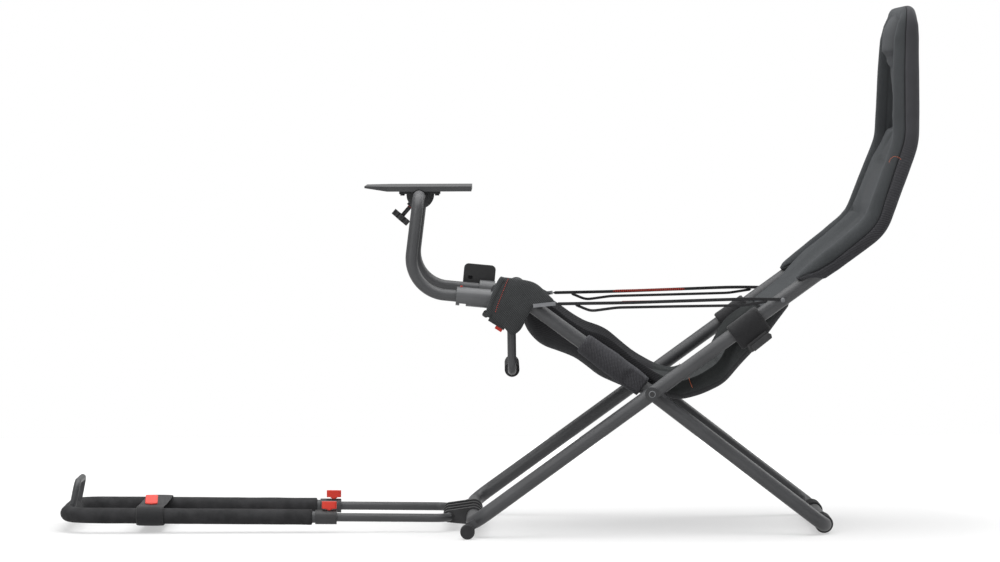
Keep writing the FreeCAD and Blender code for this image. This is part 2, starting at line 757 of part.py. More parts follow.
def wheel_plate():
    # a tray pressed from sheet, open below, whose rim runs out towards the front
    low = plate_under + plate_skin - plate_rim
    outer = [at(x, y, low) for x, y in wheel_plate_outline(0.0)]
    inner = [at(x, y, low) for x, y in wheel_plate_outline(plate_rim_wall)]
    plate = Part.Face(Part.makePolygon(outer + outer[:1])).extrude(at(0, 0, plate_rim))
    hollow = Part.Face(Part.makePolygon(inner + inner[:1])).extrude(at(0, 0, plate_rim - plate_skin))
    plate = plate.cut(hollow)
    front = arm_top.x + plate_back - plate_long
    wedge = [at(front - 1, 0, low - 1), at(front - 1, 0, plate_under), at(front + plate_cut, 0, low),
             at(front + plate_cut, 0, low - 1)]
    wedge = Part.Face(Part.makePolygon(wedge + wedge[:1])).extrude(along_y * plate_wide)
    plate = plate.cut(wedge.translated(along_y * (-plate_wide / 2)))
    plate = plate.cut(Part.makeCylinder(arm_r + 1.5, plate_wide, shifted(arm_top, -plate_wide / 2), along_y))
    for x in (-plate_hole_x / 2, plate_hole_x / 2):
        for y in (-plate_hole_y / 2, plate_hole_y / 2):
            plate = plate.cut(Part.makeCylinder(plate_hole_r, plate_rim + 2, at(arm_top.x + x, y, low - 1)))
    return plate


def plate_saddle():
    # the block under the plate that hooks over the arm's crossbar, with the clamp's sleeve
    half = saddle_wide / 2
    flange = Part.makeBox(flange_long, saddle_wide, flange_thick,
                          at(arm_top.x - flange_long / 2 - 1.0, -half, plate_under - flange_thick))
    body = Part.makeCylinder(saddle_r, saddle_wide, shifted(arm_top, -half), along_y)
    body = body.common(Part.makeBox(4 * saddle_r, saddle_wide, saddle_r + plate_rise,
                                    at(arm_top.x - 2 * saddle_r, -half, arm_top.z - saddle_r)))
    way = knob_line()
    boss = rod(arm_top, arm_top + way * (saddle_r + 4.0), 8.0)
    bore = Part.makeCylinder(arm_r + bush_gap, saddle_wide, shifted(arm_top, -half), along_y)
    hole = rod(arm_top, arm_top + way * (2 * saddle_r), screw_r + bush_gap)
    return body.fuse([flange, boss]).cut(bore).cut(hole)


def knob_line():
    return at(-cos(radians(knob_angle)), 0, -sin(radians(knob_angle)))


def saddle_bolts():
    bolts = []
    for x in (-34.0, 32.0):
        for y in (-18.0, 18.0):
            low = at(arm_top.x + x, y, plate_under - flange_thick - 3.0)
            bolts.append(Part.makeCylinder(4.0, 3.0, low))
    return Part.makeCompound(bolts)


def clamp_knob():
    # the fluted knob and the screw it turns
    way = knob_line()
    start = arm_top + way * (knob_reach - knob_thick / 2)
    knob = rod(start, start + way * knob_thick, knob_r)
    side = at(-way.z, 0, way.x)
    spot = start + side * (knob_r + 3.0)
    flute = rod(spot, spot + way * knob_thick, 6.0)
    for turn in range(6):
        knob = knob.cut(flute.rotated(start, way, 60.0 * turn))
    screw = rod(arm_top + way * (arm_r + gap), start, screw_r)
    return knob.fuse(screw)


rail_start = front_bar + at(0, 0, -hinge_drop)       # the rails' centre line, carried back to the hinge


def on_rail(reach, y=0.0):
    return shifted(rail_start + rail_way * reach, y)


def inner_tube(side):
    y = side * rail_half
    bend_end = on_rail(hinge_reach + inner_corner_r, y)
    return ring(bend_end, on_rail(inner_reach, y), inner_r, inner_r - inner_wall)


def inner_cross():
    points = [on_rail(hinge_reach + inner_corner_r, -rail_half), on_rail(hinge_reach, -rail_half),
              on_rail(hinge_reach, rail_half), on_rail(hinge_reach + inner_corner_r, rail_half)]
    return bent_tube(points, inner_corner_r, inner_r, inner_wall)


def hinge_links():
    links = []
    cross = on_rail(hinge_reach)
    for y in link_places:
        low = y - link_wide / 2
        wide = along_y * link_wide
        link = Part.makeCylinder(link_r, link_wide, shifted(front_bar, low), wide)
        link = link.fuse(Part.makeCylinder(inner_r + 3.5, link_wide, shifted(cross, low), wide))
        link = link.fuse(web_between(front_bar, link_r, cross, inner_r + 3.5, low, wide))
        link = link.cut(Part.makeCylinder(tube_r + bush_gap, link_wide, shifted(front_bar, low), wide))
        links.append(link.cut(Part.makeCylinder(inner_r, link_wide, shifted(cross, low), wide)))
    return Part.makeCompound(links)


def outer_rails():
    # one bent tube: both rails and their front end run
    points = [on_rail(collar_reach, -rail_half), on_rail(rail_reach, -rail_half),
              on_rail(rail_reach, rail_half), on_rail(collar_reach, rail_half)]
    return bent_tube(points, rail_corner_r, outer_r, outer_wall)


def rail_foam(side):
    y = side * rail_half
    return ring(on_rail(collar_reach + collar_len + gap, y), on_rail(rail_reach - rail_corner_r, y),
                foam_r, outer_r)


def end_foam():
    points = [on_rail(rail_reach - rail_corner_r, -rail_half), on_rail(rail_reach, -rail_half),
              on_rail(rail_reach, rail_half), on_rail(rail_reach - rail_corner_r, rail_half)]
    foam = bent_rod(points, rail_corner_r, foam_r).cut(bent_rod(points, rail_corner_r, outer_r))
    for name, side in sides:
        foot, top = hoop_leg(side)
        foam = foam.cut(rod(foot, top, hoop_r + gap))
    return foam


def hoop_leg(side):
    lean = rail_up * cos(radians(hoop_lean)) - rail_way * sin(radians(hoop_lean))
    foot = on_rail(rail_reach - hoop_back, side * hoop_half)
    return foot, foot + lean * hoop_high


def rail_collars():
    collars = []
    for name, side in sides:
        y = side * rail_half
        start = on_rail(collar_reach, y)
        body = ring(start, on_rail(collar_reach + collar_len, y), collar_r, outer_r)
        lip = ring(on_rail(collar_reach - 4.0, y), start, collar_r, inner_r + bush_gap)
        spot = on_rail(collar_reach + knob_place, y)
        hole = rod(spot, spot + rail_up * (2 * collar_r), knob_stem_r + bush_gap)
        collars.append(body.fuse(lip).cut(hole))
    return Part.makeCompound(collars)


def lock_knob(side):
    spot = on_rail(collar_reach + knob_place, side * rail_half)
    base = spot + rail_up * (outer_r + gap)
    under = spot + rail_up * (collar_r + tee_neck)
    stem = rod(base, under + rail_up * 2.0, knob_stem_r)
    neck = rod(spot + rail_up * (collar_r + 1.0), under + rail_up * 1.0, knob_stem_r + 2.5)
    centre = under + rail_up * (tee_high / 2)
    tee = block(centre, rail_way, rail_up, tee_long, tee_wide, tee_high)
    upright = [e for e in tee.Edges if e.tangentAt(e.FirstParameter).cross(rail_up).Length < 0.1]
    return stem.fuse(neck).fuse(tee.makeFillet(4.0, upright))


def pedal_stop():
    left, left_top = hoop_leg(-1)
    right, right_top = hoop_leg(1)
    hoop = bent_rod([left, left_top, right_top, right], 16.0, hoop_r)
    return hoop.cut(rod(on_rail(rail_reach, -rail_half), on_rail(rail_reach, rail_half), outer_r + 0.02))


def loop_band(reach, wide, radius, thick):
    # a flat loop round both rails
    start = on_rail(reach - wide / 2)
    outer = racetrack(start, radius + thick)
    inner = racetrack(start, radius)
    return outer.cut(inner).extrude(rail_way * wide)


def racetrack(centre, radius):
    left = shifted(centre, -rail_half)
    right = shifted(centre, rail_half)
    up = rail_up * radius
    arcs = [Part.LineSegment(left + up, right + up).toShape(),
            Part.Arc(right + up, right + along_y * radius, right - up).toShape(),
            Part.LineSegment(right - up, left - up).toShape(),
            Part.Arc(left - up, left - along_y * radius, left + up).toShape()]
    return Part.Face(Part.Wire(arcs))


def heel_strap():
    # the loop round both rails, and the stitched tab on it
    band = loop_band(strap_place, heel_strap_wide, foam_r + gap, heel_strap_thick)
    tilt = radians(strap_tab_tilt)
    rise = strap_tab_wide / 2 * sin(tilt) + 1.5 * cos(tilt) + bush_gap
    spot = on_rail(strap_place, 35.0 - rail_half) + rail_up * (foam_r + gap + heel_strap_thick + rise)
    face = rail_up * cos(tilt) - along_y * sin(tilt)
    tab = block(spot, rail_way, face, strap_tab_long, strap_tab_wide, 3.0)
    return Part.makeCompound([band, tab])


def build():
    for name, side in sides:
        save("main_tube_" + name, main_tube(side))
        save("back_hoop_" + name, back_hoop(side))
        save("bolster_" + name, bolster(side))
        save("back_band_" + name, back_band(side))
        save("leg_tube_" + name, leg_tube(side))
        save("leg_sleeve_" + name, leg_sleeve(side))
        save("corner_flap_" + name, corner_flap(side))
        save("carrier_cheek_" + name, carrier_cheek(side))
        save("arm_tube_" + name, arm_tube(side))
        save("inner_tube_" + name, inner_tube(side))
        save("rail_foam_" + name, rail_foam(side))
        save("lock_knob_" + name, lock_knob(side))
    save("front_crossbar", front_crossbar())
    save("head_crossbar", head_crossbar())
    save("front_foot_lugs", front_foot_lugs())
    save("front_feet", front_feet())
    save("pivot_bolts", pivot_bolts())
    save("back_panel", back_panel())
    save("head_pad", head_pad())
    save("rear_crossbar", rear_crossbar())
    save("rear_grips", rear_grips())
    save("seat_front_bar", seat_front_bar())
    save("seat_front_pad", seat_front_pad())
    save("seat_rear_pad", seat_rear_pad())
    save("seat_front_roll", seat_front_roll())
    save("strap_hooks", strap_hooks())
    save("side_straps", side_straps())
    save("sleeve_left", left_sleeve())
    save("sleeve_right", right_sleeve())
    save("sleeve_button", sleeve_button())
    save("stop_bar", stop_bar())
    save("stop_roller", stop_roller())
    save("latch_block", latch_block())
    save("release_button", release_button())
    save("release_plunger", release_plunger())
    save("shifter_plate", shifter_plate())
    save("arm_crossbar", arm_crossbar())
    save("wheel_plate", wheel_plate())
    save("plate_saddle", plate_saddle())
    save("saddle_bolts", saddle_bolts())
    save("clamp_knob", clamp_knob())
    save("inner_cross", inner_cross())
    save("hinge_links", hinge_links())
    save("outer_rails", outer_rails())
    save("end_foam", end_foam())
    save("rail_collars", rail_collars())
    save("pedal_stop", pedal_stop())
    save("heel_strap", heel_strap())


build()
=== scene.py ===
import json
from math import pi, radians
import bpy
import numpy as np
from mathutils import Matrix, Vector


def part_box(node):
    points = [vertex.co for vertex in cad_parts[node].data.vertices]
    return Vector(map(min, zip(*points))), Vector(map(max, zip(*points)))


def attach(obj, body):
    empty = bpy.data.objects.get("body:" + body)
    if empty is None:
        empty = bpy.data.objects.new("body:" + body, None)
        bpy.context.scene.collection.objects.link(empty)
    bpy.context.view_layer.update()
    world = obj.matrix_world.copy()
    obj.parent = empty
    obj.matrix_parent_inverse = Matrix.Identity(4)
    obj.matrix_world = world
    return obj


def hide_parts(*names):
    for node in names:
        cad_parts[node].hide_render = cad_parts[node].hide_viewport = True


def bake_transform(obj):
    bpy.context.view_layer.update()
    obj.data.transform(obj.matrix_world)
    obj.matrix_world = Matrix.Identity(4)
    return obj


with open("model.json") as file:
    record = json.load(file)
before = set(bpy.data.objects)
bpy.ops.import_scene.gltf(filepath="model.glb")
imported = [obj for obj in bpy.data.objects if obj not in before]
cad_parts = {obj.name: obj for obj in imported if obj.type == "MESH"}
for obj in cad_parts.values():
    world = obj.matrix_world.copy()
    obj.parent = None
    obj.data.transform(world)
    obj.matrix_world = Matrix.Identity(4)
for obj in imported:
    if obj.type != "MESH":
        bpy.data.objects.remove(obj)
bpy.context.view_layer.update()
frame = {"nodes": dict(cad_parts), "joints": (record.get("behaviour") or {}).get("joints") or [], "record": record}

jointAt = {j["name"]: np.array(j["pos_m"]) for j in frame["joints"] if j.get("pos_m")}
print("frame loaded:", len(frame["nodes"]), "nodes")

layout = {
    "mainSlope": 35.8, "seatSlope": 36.4, "mainHalf": 0.250, "legHalf": 0.2204,
    "hoopJoint": 0.320, "lowRun": 0.2009, "midRun": 0.173, "midSlope": 69.0, "topRun": 0.235,
    "topSlope": 88.9, "shoulderHalf": 0.215, "headHalf": 0.150, "railSlope": 0.6, "railHalf": 0.125,
    "railDrop": 0.0013,
}


def slopeWay(degrees):
    return np.array([np.cos(radians(degrees)), 0.0, np.sin(radians(degrees))])


pivot = jointAt["leg_fold"]
seatBar = jointAt["arm_lift"]
frontBar = jointAt["pedal_fold"]
mainWay = slopeWay(layout["mainSlope"])
seatWay = slopeWay(-layout["seatSlope"])
hoopJoint = pivot + mainWay * layout["hoopJoint"]
lowBend = hoopJoint + mainWay * layout["lowRun"]
upperBend = lowBend + slopeWay(layout["midSlope"]) * layout["midRun"]
hoopTop = upperBend + slopeWay(layout["topSlope"]) * layout["topRun"]
railWay = slopeWay(180.0 - layout["railSlope"])
railUp = np.array([np.sin(radians(layout["railSlope"])), 0.0, np.cos(radians(layout["railSlope"]))])
sides = (("left", -1.0), ("right", 1.0))
railStart = frontBar - np.array([0.0, 0.0, layout["railDrop"]])


def softPath(points, spacing, softness):
    # a polyline walked in even steps, then averaged over a sliding window that rounds its corners
    points = np.asarray(points, float)
    reach = runLength(points)
    steps = np.linspace(0.0, reach[-1], max(int(reach[-1] / spacing), 8) + 1)
    walk = np.stack([np.interp(steps, reach, points[:, k]) for k in range(3)], 1)
    width = max(int(softness / spacing), 1)
    if width > 1:
        lead = 2 * walk[0] - walk[width:0:-1]
        tail = 2 * walk[-1] - walk[-2:-width - 2:-1]
        window = np.hanning(2 * width + 1)
        window /= window.sum()
        padded = np.concatenate([lead, walk, tail])
        walk = np.stack([np.convolve(padded[:, k], window, "valid") for k in range(3)], 1)
    return walk


def pathFrame(path, upward):
    # the way along each point of a path, with an across and an up direction square to it
    way = np.gradient(path, axis=0)
    way /= np.linalg.norm(way, axis=1, keepdims=True)
    up = np.broadcast_to(np.asarray(upward, float), path.shape)
    up = up - way * np.sum(up * way, 1, keepdims=True)
    up = up / np.linalg.norm(up, axis=1, keepdims=True)
    return way, np.cross(way, up), up


def runLength(path):
    return np.concatenate([[0.0], np.cumsum(np.linalg.norm(np.diff(path, axis=0), axis=1))])


def roundedEnds(reach, radius):
    # one along the middle, and the quarter circle that closes a form at each end
    near = np.clip(np.minimum(reach, reach[-1] - reach) / radius, 0.0, 1.0)
    return np.sqrt(np.clip(1.0 - (1.0 - near) ** 2, 0.0, 1.0))


def awayFrom(rings, line):
    # unit directions from a line's points out to the rings round them
    outward = rings - line[:, None]
    return outward / np.maximum(np.linalg.norm(outward, axis=2, keepdims=True), 1e-6)


def softFolds(points, size, seed):
    # low waves across the surface: a sum of a few sines with fixed directions and phases
    pick = np.random.default_rng(seed)
    total = np.zeros(points.shape[:-1])
    for wave in range(7):
        way = pick.normal(size=3)
        way /= np.linalg.norm(way)
        pitch = size * pick.uniform(0.6, 1.8)
        total += np.sin(2 * pi * (points @ way) / pitch + pick.uniform(0, 2 * pi)) / 7
    return total


def squareSection(count, power):
    # cosine and sine round a full turn, raised to a power: 1 is round, below it grows square
    turn = np.linspace(0.0, 2 * pi, count, endpoint=False)
    c, s = np.cos(turn), np.sin(turn)
    return np.sign(c) * np.abs(c) ** power, np.sign(s) * np.abs(s) ** power


def signedVolume(verts, faces):
    # positive where the faces look outward: each face is cut into triangles from its first corner
    first = verts[faces[:, 0]]
    return sum(np.einsum("ij,ij->i", first, np.cross(verts[faces[:, k]], verts[faces[:, k + 1]])).sum()
               for k in range(1, faces.shape[1] - 1))


def gridUv(along, around, i, j):
    # the four corners of each quad, measured in metres along the form and round it
    corners = ((i, j), (i, j + 1), (i + 1, j + 1), (i + 1, j))
    return np.stack([np.stack([along[a], around[b]], -1) for a, b in corners], 2)


def makePiece(name, verts, faces, uv):
    mesh = bpy.data.meshes.new(name)
    mesh.from_pydata(verts.tolist(), [], faces)
    mesh.uv_layers.new(name="clothUv").data.foreach_set("uv", uv.astype(np.float32).ravel())
    mesh.polygons.foreach_set("use_smooth", np.ones(len(faces), bool))
    mesh.update()
    piece = bpy.data.objects.new(name, mesh)
    bpy.context.scene.collection.objects.link(piece)
    return piece


def meshPiece(name, rings, sideUv=False):
    # rings[i, j] is station i along the form and place j round it; quads join them, a fan closes each end
    rings = np.asarray(rings, float)
    m, n = rings.shape[:2]
    i, j = np.meshgrid(np.arange(m - 1), np.arange(n), indexing="ij")
    nextJ = (j + 1) % n
    quads = np.stack([i * n + j, i * n + nextJ, (i + 1) * n + nextJ, (i + 1) * n + j], -1).reshape(-1, 4)
    k = np.arange(n)
    nextK = (k + 1) % n
    firstFan = np.stack([np.full(n, m * n), nextK, k], -1)
    lastFan = np.stack([np.full(n, m * n + 1), (m - 1) * n + k, (m - 1) * n + nextK], -1)
    verts = np.concatenate([rings.reshape(-1, 3), rings[:1].mean(1), rings[-1:].mean(1)])
    fans = np.concatenate([firstFan, lastFan])
    if sideUv:
        flat = verts[:, [0, 2]]
        uvQuads, uvFans = flat[quads], flat[fans]
    else:
        middle = rings.mean(1)
        widest = np.linalg.norm(rings - middle[:, None], axis=2).mean(1).argmax()
        around = runLength(np.concatenate([rings[widest], rings[widest][:1]]))
        uvQuads = gridUv(runLength(middle), around, i, j).reshape(-1, 4, 2)
        fanUv = np.stack([around[k], np.zeros(n)], -1)
        uvFans = np.tile(np.stack([fanUv, fanUv + 0.004, fanUv + [0.0, 0.004]], 1), (2, 1, 1))
    if signedVolume(verts, quads) + signedVolume(verts, fans) < 0:
        quads, fans, uvQuads, uvFans = quads[:, ::-1], fans[:, ::-1], uvQuads[:, ::-1], uvFans[:, ::-1]
    uv = np.concatenate([uvQuads.reshape(-1, 2), uvFans.reshape(-1, 2)])
    return makePiece(name, verts, quads.tolist() + fans.tolist(), uv)


def finishPiece(piece, body, material, replaced=()):
    piece.data.materials.append(material)
    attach(piece, body)
    if replaced:
        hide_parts(*replaced)


clothShape = {"frames": 20, "pressure": 4.0, "mass": 0.15, "tension": 12.0, "shear": 4.0,
              "bending": 0.3}


def puffUp(piece, held, cap):
    # pressed out from inside as cloth, held where it is sewn, and never moved further than the cap
    group = piece.vertex_groups.new(name="sewn")
    group.add(np.flatnonzero(held).tolist(), 1.0, "REPLACE")
    cloth = piece.modifiers.new("puff", "CLOTH")
    made = cloth.settings
    made.quality, made.mass = 5, clothShape["mass"]
    made.tension_stiffness = made.compression_stiffness = clothShape["tension"]
    made.shear_stiffness, made.bending_stiffness = clothShape["shear"], clothShape["bending"]
    made.use_pressure, made.uniform_pressure_force = True, clothShape["pressure"]
    made.effector_weights.gravity = 0.0
    made.vertex_group_mass = "sewn"
    scene = bpy.context.scene
    for moment in range(1, clothShape["frames"] + 1):
        scene.frame_set(moment)
    shown = piece.evaluated_get(bpy.context.evaluated_depsgraph_get())
    count = len(piece.data.vertices)
    before, after = np.zeros(count * 3), np.zeros(count * 3)
    piece.data.vertices.foreach_get("co", before)
    shown.data.vertices.foreach_get("co", after)
    moved = (after - before).reshape(-1, 3)
    far = np.linalg.norm(moved, axis=1)
    moved *= np.minimum(1.0, cap / np.maximum(far, 1e-9))[:, None]
    piece.modifiers.remove(cloth)
    piece.vertex_groups.remove(group)
    piece.data.vertices.foreach_set("co", (before.reshape(-1, 3) + moved).ravel())
    piece.data.update()
    scene.frame_set(1)
    print("puffed", piece.name, "most", round(float(far.max()) * 1000, 1), "mm")


def meshPoints(piece):
    points = np.zeros(len(piece.data.vertices) * 3)
    piece.data.vertices.foreach_get("co", points)
    return points.reshape(-1, 3)


def faceValues(piece, key):
    values = np.zeros(len(piece.data.polygons) * 3)
    piece.data.polygons.foreach_get(key, values)
    return values.reshape(-1, 3)


def joinPieces(name, pieces):
    # several closed forms kept as one piece
    meshes = [piece.data for piece in pieces]
    with bpy.context.temp_override(active_object=pieces[0], selected_editable_objects=pieces,
                                   object=pieces[0], selected_objects=pieces):
        bpy.ops.object.join()
    pieces[0].name = name
    for mesh in meshes[1:]:
        if mesh.users == 0:
            bpy.data.meshes.remove(mesh)
    return pieces[0]


def tubeRings(path, radius, upward=(0, 0, 1), around=28, endRadius=0.0):
    # a round section carried along a path
    way, across, up = pathFrame(path, upward)
    c, s = squareSection(around, 1.0)
    size = np.broadcast_to(np.asarray(radius, float), (len(path),)).copy()
    if endRadius:
        size = size * np.maximum(roundedEnds(runLength(path), endRadius), 0.02)
    return path[:, None] + size[:, None, None] * (across[:, None] * c[:, None] + up[:, None] * s[:, None])


def bandRings(path, upward, wide, thick, power=0.35, around=24, ends=0.0):
    # a flat band with rounded edges carried along a path
    way, across, up = pathFrame(path, upward)
    c, s = squareSection(around, power)
    trim = np.maximum(roundedEnds(runLength(path), ends), 0.05) if ends else np.ones(len(path))
    half = np.broadcast_to(np.asarray(wide, float) / 2, (len(path),)) * trim
    deep = np.broadcast_to(np.asarray(thick, float) / 2, (len(path),)) * trim
    return (path[:, None] + across[:, None] * (half[:, None] * c)[..., None]
            + up[:, None] * (deep[:, None] * s)[..., None])


def startMaterial(name, colour, roughness, metallic=0.0, specular=0.5):
    material = bpy.data.materials.new(name)
    material.use_nodes = True
    nodes, links = material.node_tree.nodes, material.node_tree.links
    shader = nodes["Principled BSDF"]
    shader.inputs["Base Color"].default_value = (*colour, 1.0)
    shader.inputs["Roughness"].default_value = roughness
    shader.inputs["Metallic"].default_value = metallic
    shader.inputs["Specular IOR Level"].default_value = specular
    return material, nodes, links, shader


def node(nodes, kind, **values):
    made = nodes.new(kind)
    for key, value in values.items():
        if key in made.inputs.keys():
            made.inputs[key].default_value = value
        else:
            setattr(made, key, value)
    return made


def colourSpread(nodes, links, shader, source, dark, light, low=0.35, high=0.65):
    ramp = nodes.new("ShaderNodeValToRGB")
    ramp.color_ramp.elements[0].position = low
    ramp.color_ramp.elements[1].position = high
    ramp.color_ramp.elements[0].color = (*dark, 1.0)
    ramp.color_ramp.elements[1].color = (*light, 1.0)
    links.new(source, ramp.inputs["Fac"])
    links.new(ramp.outputs["Color"], shader.inputs["Base Color"])


def addNoise(nodes, links, place, scale, detail, roughness):
    noise = node(nodes, "ShaderNodeTexNoise", Scale=scale, Detail=detail, Roughness=roughness)
    links.new(place, noise.inputs["Vector"])
    return noise.outputs["Fac"]


def addBump(nodes, links, shader, source, strength, distance):
    bump = node(nodes, "ShaderNodeBump", Strength=strength, Distance=distance)
    links.new(source, bump.inputs["Height"])
    links.new(bump.outputs["Normal"], shader.inputs["Normal"])


def paintFinish(name, colour, roughness=0.42, grain=900.0, depth=0.00006):
    # powder coat: an orange-peel bump, a slight change of tone, and a softer or harder gloss in patches
    material, nodes, links, shader = startMaterial(name, colour, roughness, 0.0, 0.5)
    place = nodes.new("ShaderNodeTexCoord").outputs["Object"]
    peel = addNoise(nodes, links, place, grain, 3.0, 0.55)
    patch = addNoise(nodes, links, place, 14.0, 5.0, 0.6)
    c = np.array(colour)
    colourSpread(nodes, links, shader, patch, c * 0.90, c * 1.12)
    gloss = node(nodes, "ShaderNodeMapRange")
    gloss.inputs["To Min"].default_value = roughness - 0.05
    gloss.inputs["To Max"].default_value = roughness + 0.07
    links.new(patch, gloss.inputs["Value"])
    links.new(gloss.outputs["Result"], shader.inputs["Roughness"])
    addBump(nodes, links, shader, peel, 0.35, depth * 4)
    return material


def clothFinish(name, colour, light, pitch=0.0028, turn=45.0, sheen=0.12, depth=0.0005, wander=0.35):
    # knitted cloth: two sets of ribs crossing at a pitch make small diamonds, and the tone wanders slowly
    material, nodes, links, shader = startMaterial(name, colour, 0.88, 0.0, 0.22)
    shader.inputs["Sheen Weight"].default_value = sheen
    shader.inputs["Sheen Roughness"].default_value = 0.5
    shader.inputs["Sheen Tint"].default_value = (0.60, 0.63, 0.68, 1.0)
    turned = nodes.new("ShaderNodeMapping")
    turned.inputs["Rotation"].default_value = (0.0, 0.0, radians(turn))
    links.new(node(nodes, "ShaderNodeUVMap", uv_map="clothUv").outputs["UV"], turned.inputs["Vector"])
    ribs = node(nodes, "ShaderNodeTexWave", Scale=0.314 / pitch, Distortion=0.25)
    cross = node(nodes, "ShaderNodeTexWave", Scale=0.27 / pitch, Distortion=0.25)
    cross.bands_direction = "Y"
    links.new(turned.outputs["Vector"], ribs.inputs["Vector"])
    links.new(turned.outputs["Vector"], cross.inputs["Vector"])
    stitch = node(nodes, "ShaderNodeMath", operation="MULTIPLY")
    links.new(ribs.outputs["Fac"], stitch.inputs[0])
    links.new(cross.outputs["Fac"], stitch.inputs[1])
    place = nodes.new("ShaderNodeTexCoord").outputs["Object"]
    tone = addNoise(nodes, links, place, 9.0, 5.0, 0.6)
    fuzz = addNoise(nodes, links, place, 520.0, 2.0, 0.6)
    slow = node(nodes, "ShaderNodeMath", operation="MULTIPLY")
    slow.inputs[1].default_value = wander
    links.new(tone, slow.inputs[0])
    shade = node(nodes, "ShaderNodeMath", operation="MULTIPLY_ADD")
    shade.inputs[1].default_value = 0.55
    links.new(stitch.outputs[0], shade.inputs[0])
    links.new(slow.outputs[0], shade.inputs[2])
    speck = node(nodes, "ShaderNodeMath", operation="MULTIPLY_ADD")
    speck.inputs[1].default_value = 0.35
    links.new(fuzz, speck.inputs[0])
    links.new(shade.outputs[0], speck.inputs[2])
    colourSpread(nodes, links, shader, speck.outputs[0], colour, light, 0.20, 0.95)
    addBump(nodes, links, shader, speck.outputs[0], 0.7, depth)
    return material


def webbingFinish(name, colour, light, pitch=0.0018, depth=0.0004):
    # woven webbing: fine ribs across the band
    material, nodes, links, shader = startMaterial(name, colour, 0.78, 0.0, 0.3)
    shader.inputs["Sheen Weight"].default_value = 0.15
    shader.inputs["Sheen Roughness"].default_value = 0.5
    source = node(nodes, "ShaderNodeUVMap", uv_map="clothUv").outputs["UV"]
    ribs = node(nodes, "ShaderNodeTexWave", Scale=0.314 / pitch, Distortion=0.8)
    ribs.inputs["Detail Scale"].default_value = 2.0
    links.new(source, ribs.inputs["Vector"])
    colourSpread(nodes, links, shader, ribs.outputs["Fac"], colour, light, 0.2, 0.8)
    addBump(nodes, links, shader, ribs.outputs["Fac"], 0.7, depth)
    return material


def foamFinish(name, colour, light, roughness=0.82, grain=650.0):
    # closed-cell foam or rubber: small pits and a dusty change of tone
    material, nodes, links, shader = startMaterial(name, colour, roughness, 0.0, 0.3)
    place = nodes.new("ShaderNodeTexCoord").outputs["Object"]
    pits = addNoise(nodes, links, place, grain, 4.0, 0.7)
    dust = addNoise(nodes, links, place, 35.0, 6.0, 0.6)
    colourSpread(nodes, links, shader, dust, colour, light)
    addBump(nodes, links, shader, pits, 0.5, 0.0005)
    return material


def plasticFinish(name, colour, light, roughness=0.45, grain=1300.0):
    # moulded plastic: a fine spark texture and slightly uneven gloss
    material, nodes, links, shader = startMaterial(name, colour, roughness, 0.0, 0.45)
    place = nodes.new("ShaderNodeTexCoord").outputs["Object"]
    spark = addNoise(nodes, links, place, grain, 2.0, 0.5)
    tone = addNoise(nodes, links, place, 40.0, 3.0, 0.5)
    colourSpread(nodes, links, shader, tone, colour, light)
    addBump(nodes, links, shader, spark, 0.25, 0.00025)
    return material


framePaint = paintFinish("framePaint", (0.052, 0.053, 0.056))
sleevePaint = paintFinish("sleevePaint", (0.090, 0.092, 0.096), 0.34)
shifterPaint = paintFinish("shifterPaint", (0.014, 0.014, 0.015), 0.42)
platePaint = paintFinish("platePaint", (0.040, 0.041, 0.043), 0.40)
boltSteel = paintFinish("boltSteel", (0.030, 0.031, 0.033), 0.35, 1500.0)
twillCloth = clothFinish("twillCloth", (0.007, 0.007, 0.008), (0.100, 0.099, 0.108),
                         0.0025, 58.0, 0.12, 0.0010)
smoothCloth = clothFinish("smoothCloth", (0.018, 0.019, 0.020), (0.062, 0.065, 0.068),
                          0.0018, 45.0, 0.12, 0.0004)
frontCloth = clothFinish("frontCloth", (0.018, 0.020, 0.021), (0.066, 0.070, 0.074),
                         0.0018, 45.0, 0.12, 0.0004)
panelCloth = clothFinish("panelCloth", (0.018, 0.020, 0.021), (0.050, 0.054, 0.056),
                         0.0018, 45.0, 0.12, 0.0002)
slingCloth = clothFinish("slingCloth", (0.008, 0.008, 0.009), (0.040, 0.040, 0.043),
                         0.0030, 50.0, 0.06, 0.0005)
flapCloth = clothFinish("flapCloth", (0.010, 0.011, 0.011), (0.076, 0.079, 0.081),
                        0.0027, 52.0, 0.14, 0.0010, 0.5)
bagCloth = clothFinish("bagCloth", (0.010, 0.011, 0.011), (0.040, 0.044, 0.044),
                       0.0018, 45.0, 0.08, 0.0004)
# near-black cloth: real seam thread on the roll, and painted shade under the seat bag and in the shifter plate's
# recess
hemCloth = clothFinish("hemCloth", (0.006, 0.006, 0.007), (0.020, 0.020, 0.022),
                       0.0026, 50.0, 0.04, 0.0004)
darkWebbing = webbingFinish("darkWebbing", (0.006, 0.006, 0.007), (0.026, 0.026, 0.028))
foamSkin = foamFinish("foamSkin", (0.016, 0.016, 0.017), (0.032, 0.032, 0.034))
gripRubber = foamFinish("gripRubber", (0.020, 0.020, 0.021), (0.034, 0.034, 0.036), 0.7, 900.0)
blackPlastic = plasticFinish("blackPlastic", (0.020, 0.020, 0.021), (0.034, 0.034, 0.036))
greyPlastic = plasticFinish("greyPlastic", (0.16, 0.165, 0.175), (0.22, 0.225, 0.235))
redPlastic = plasticFinish("redPlastic", (0.62, 0.030, 0.016), (0.72, 0.045, 0.024), 0.38)
redThread = webbingFinish("redThread", (0.30, 0.020, 0.014), (0.62, 0.060, 0.035), 0.0016, 0.0002)
liningCloth = webbingFinish("liningCloth", (0.12, 0.014, 0.010), (0.40, 0.045, 0.030), 0.0040, 0.0002)
orangeThread = webbingFinish("orangeThread", (0.42, 0.085, 0.030), (0.70, 0.16, 0.06), 0.0016, 0.0002)
print("finishes made")

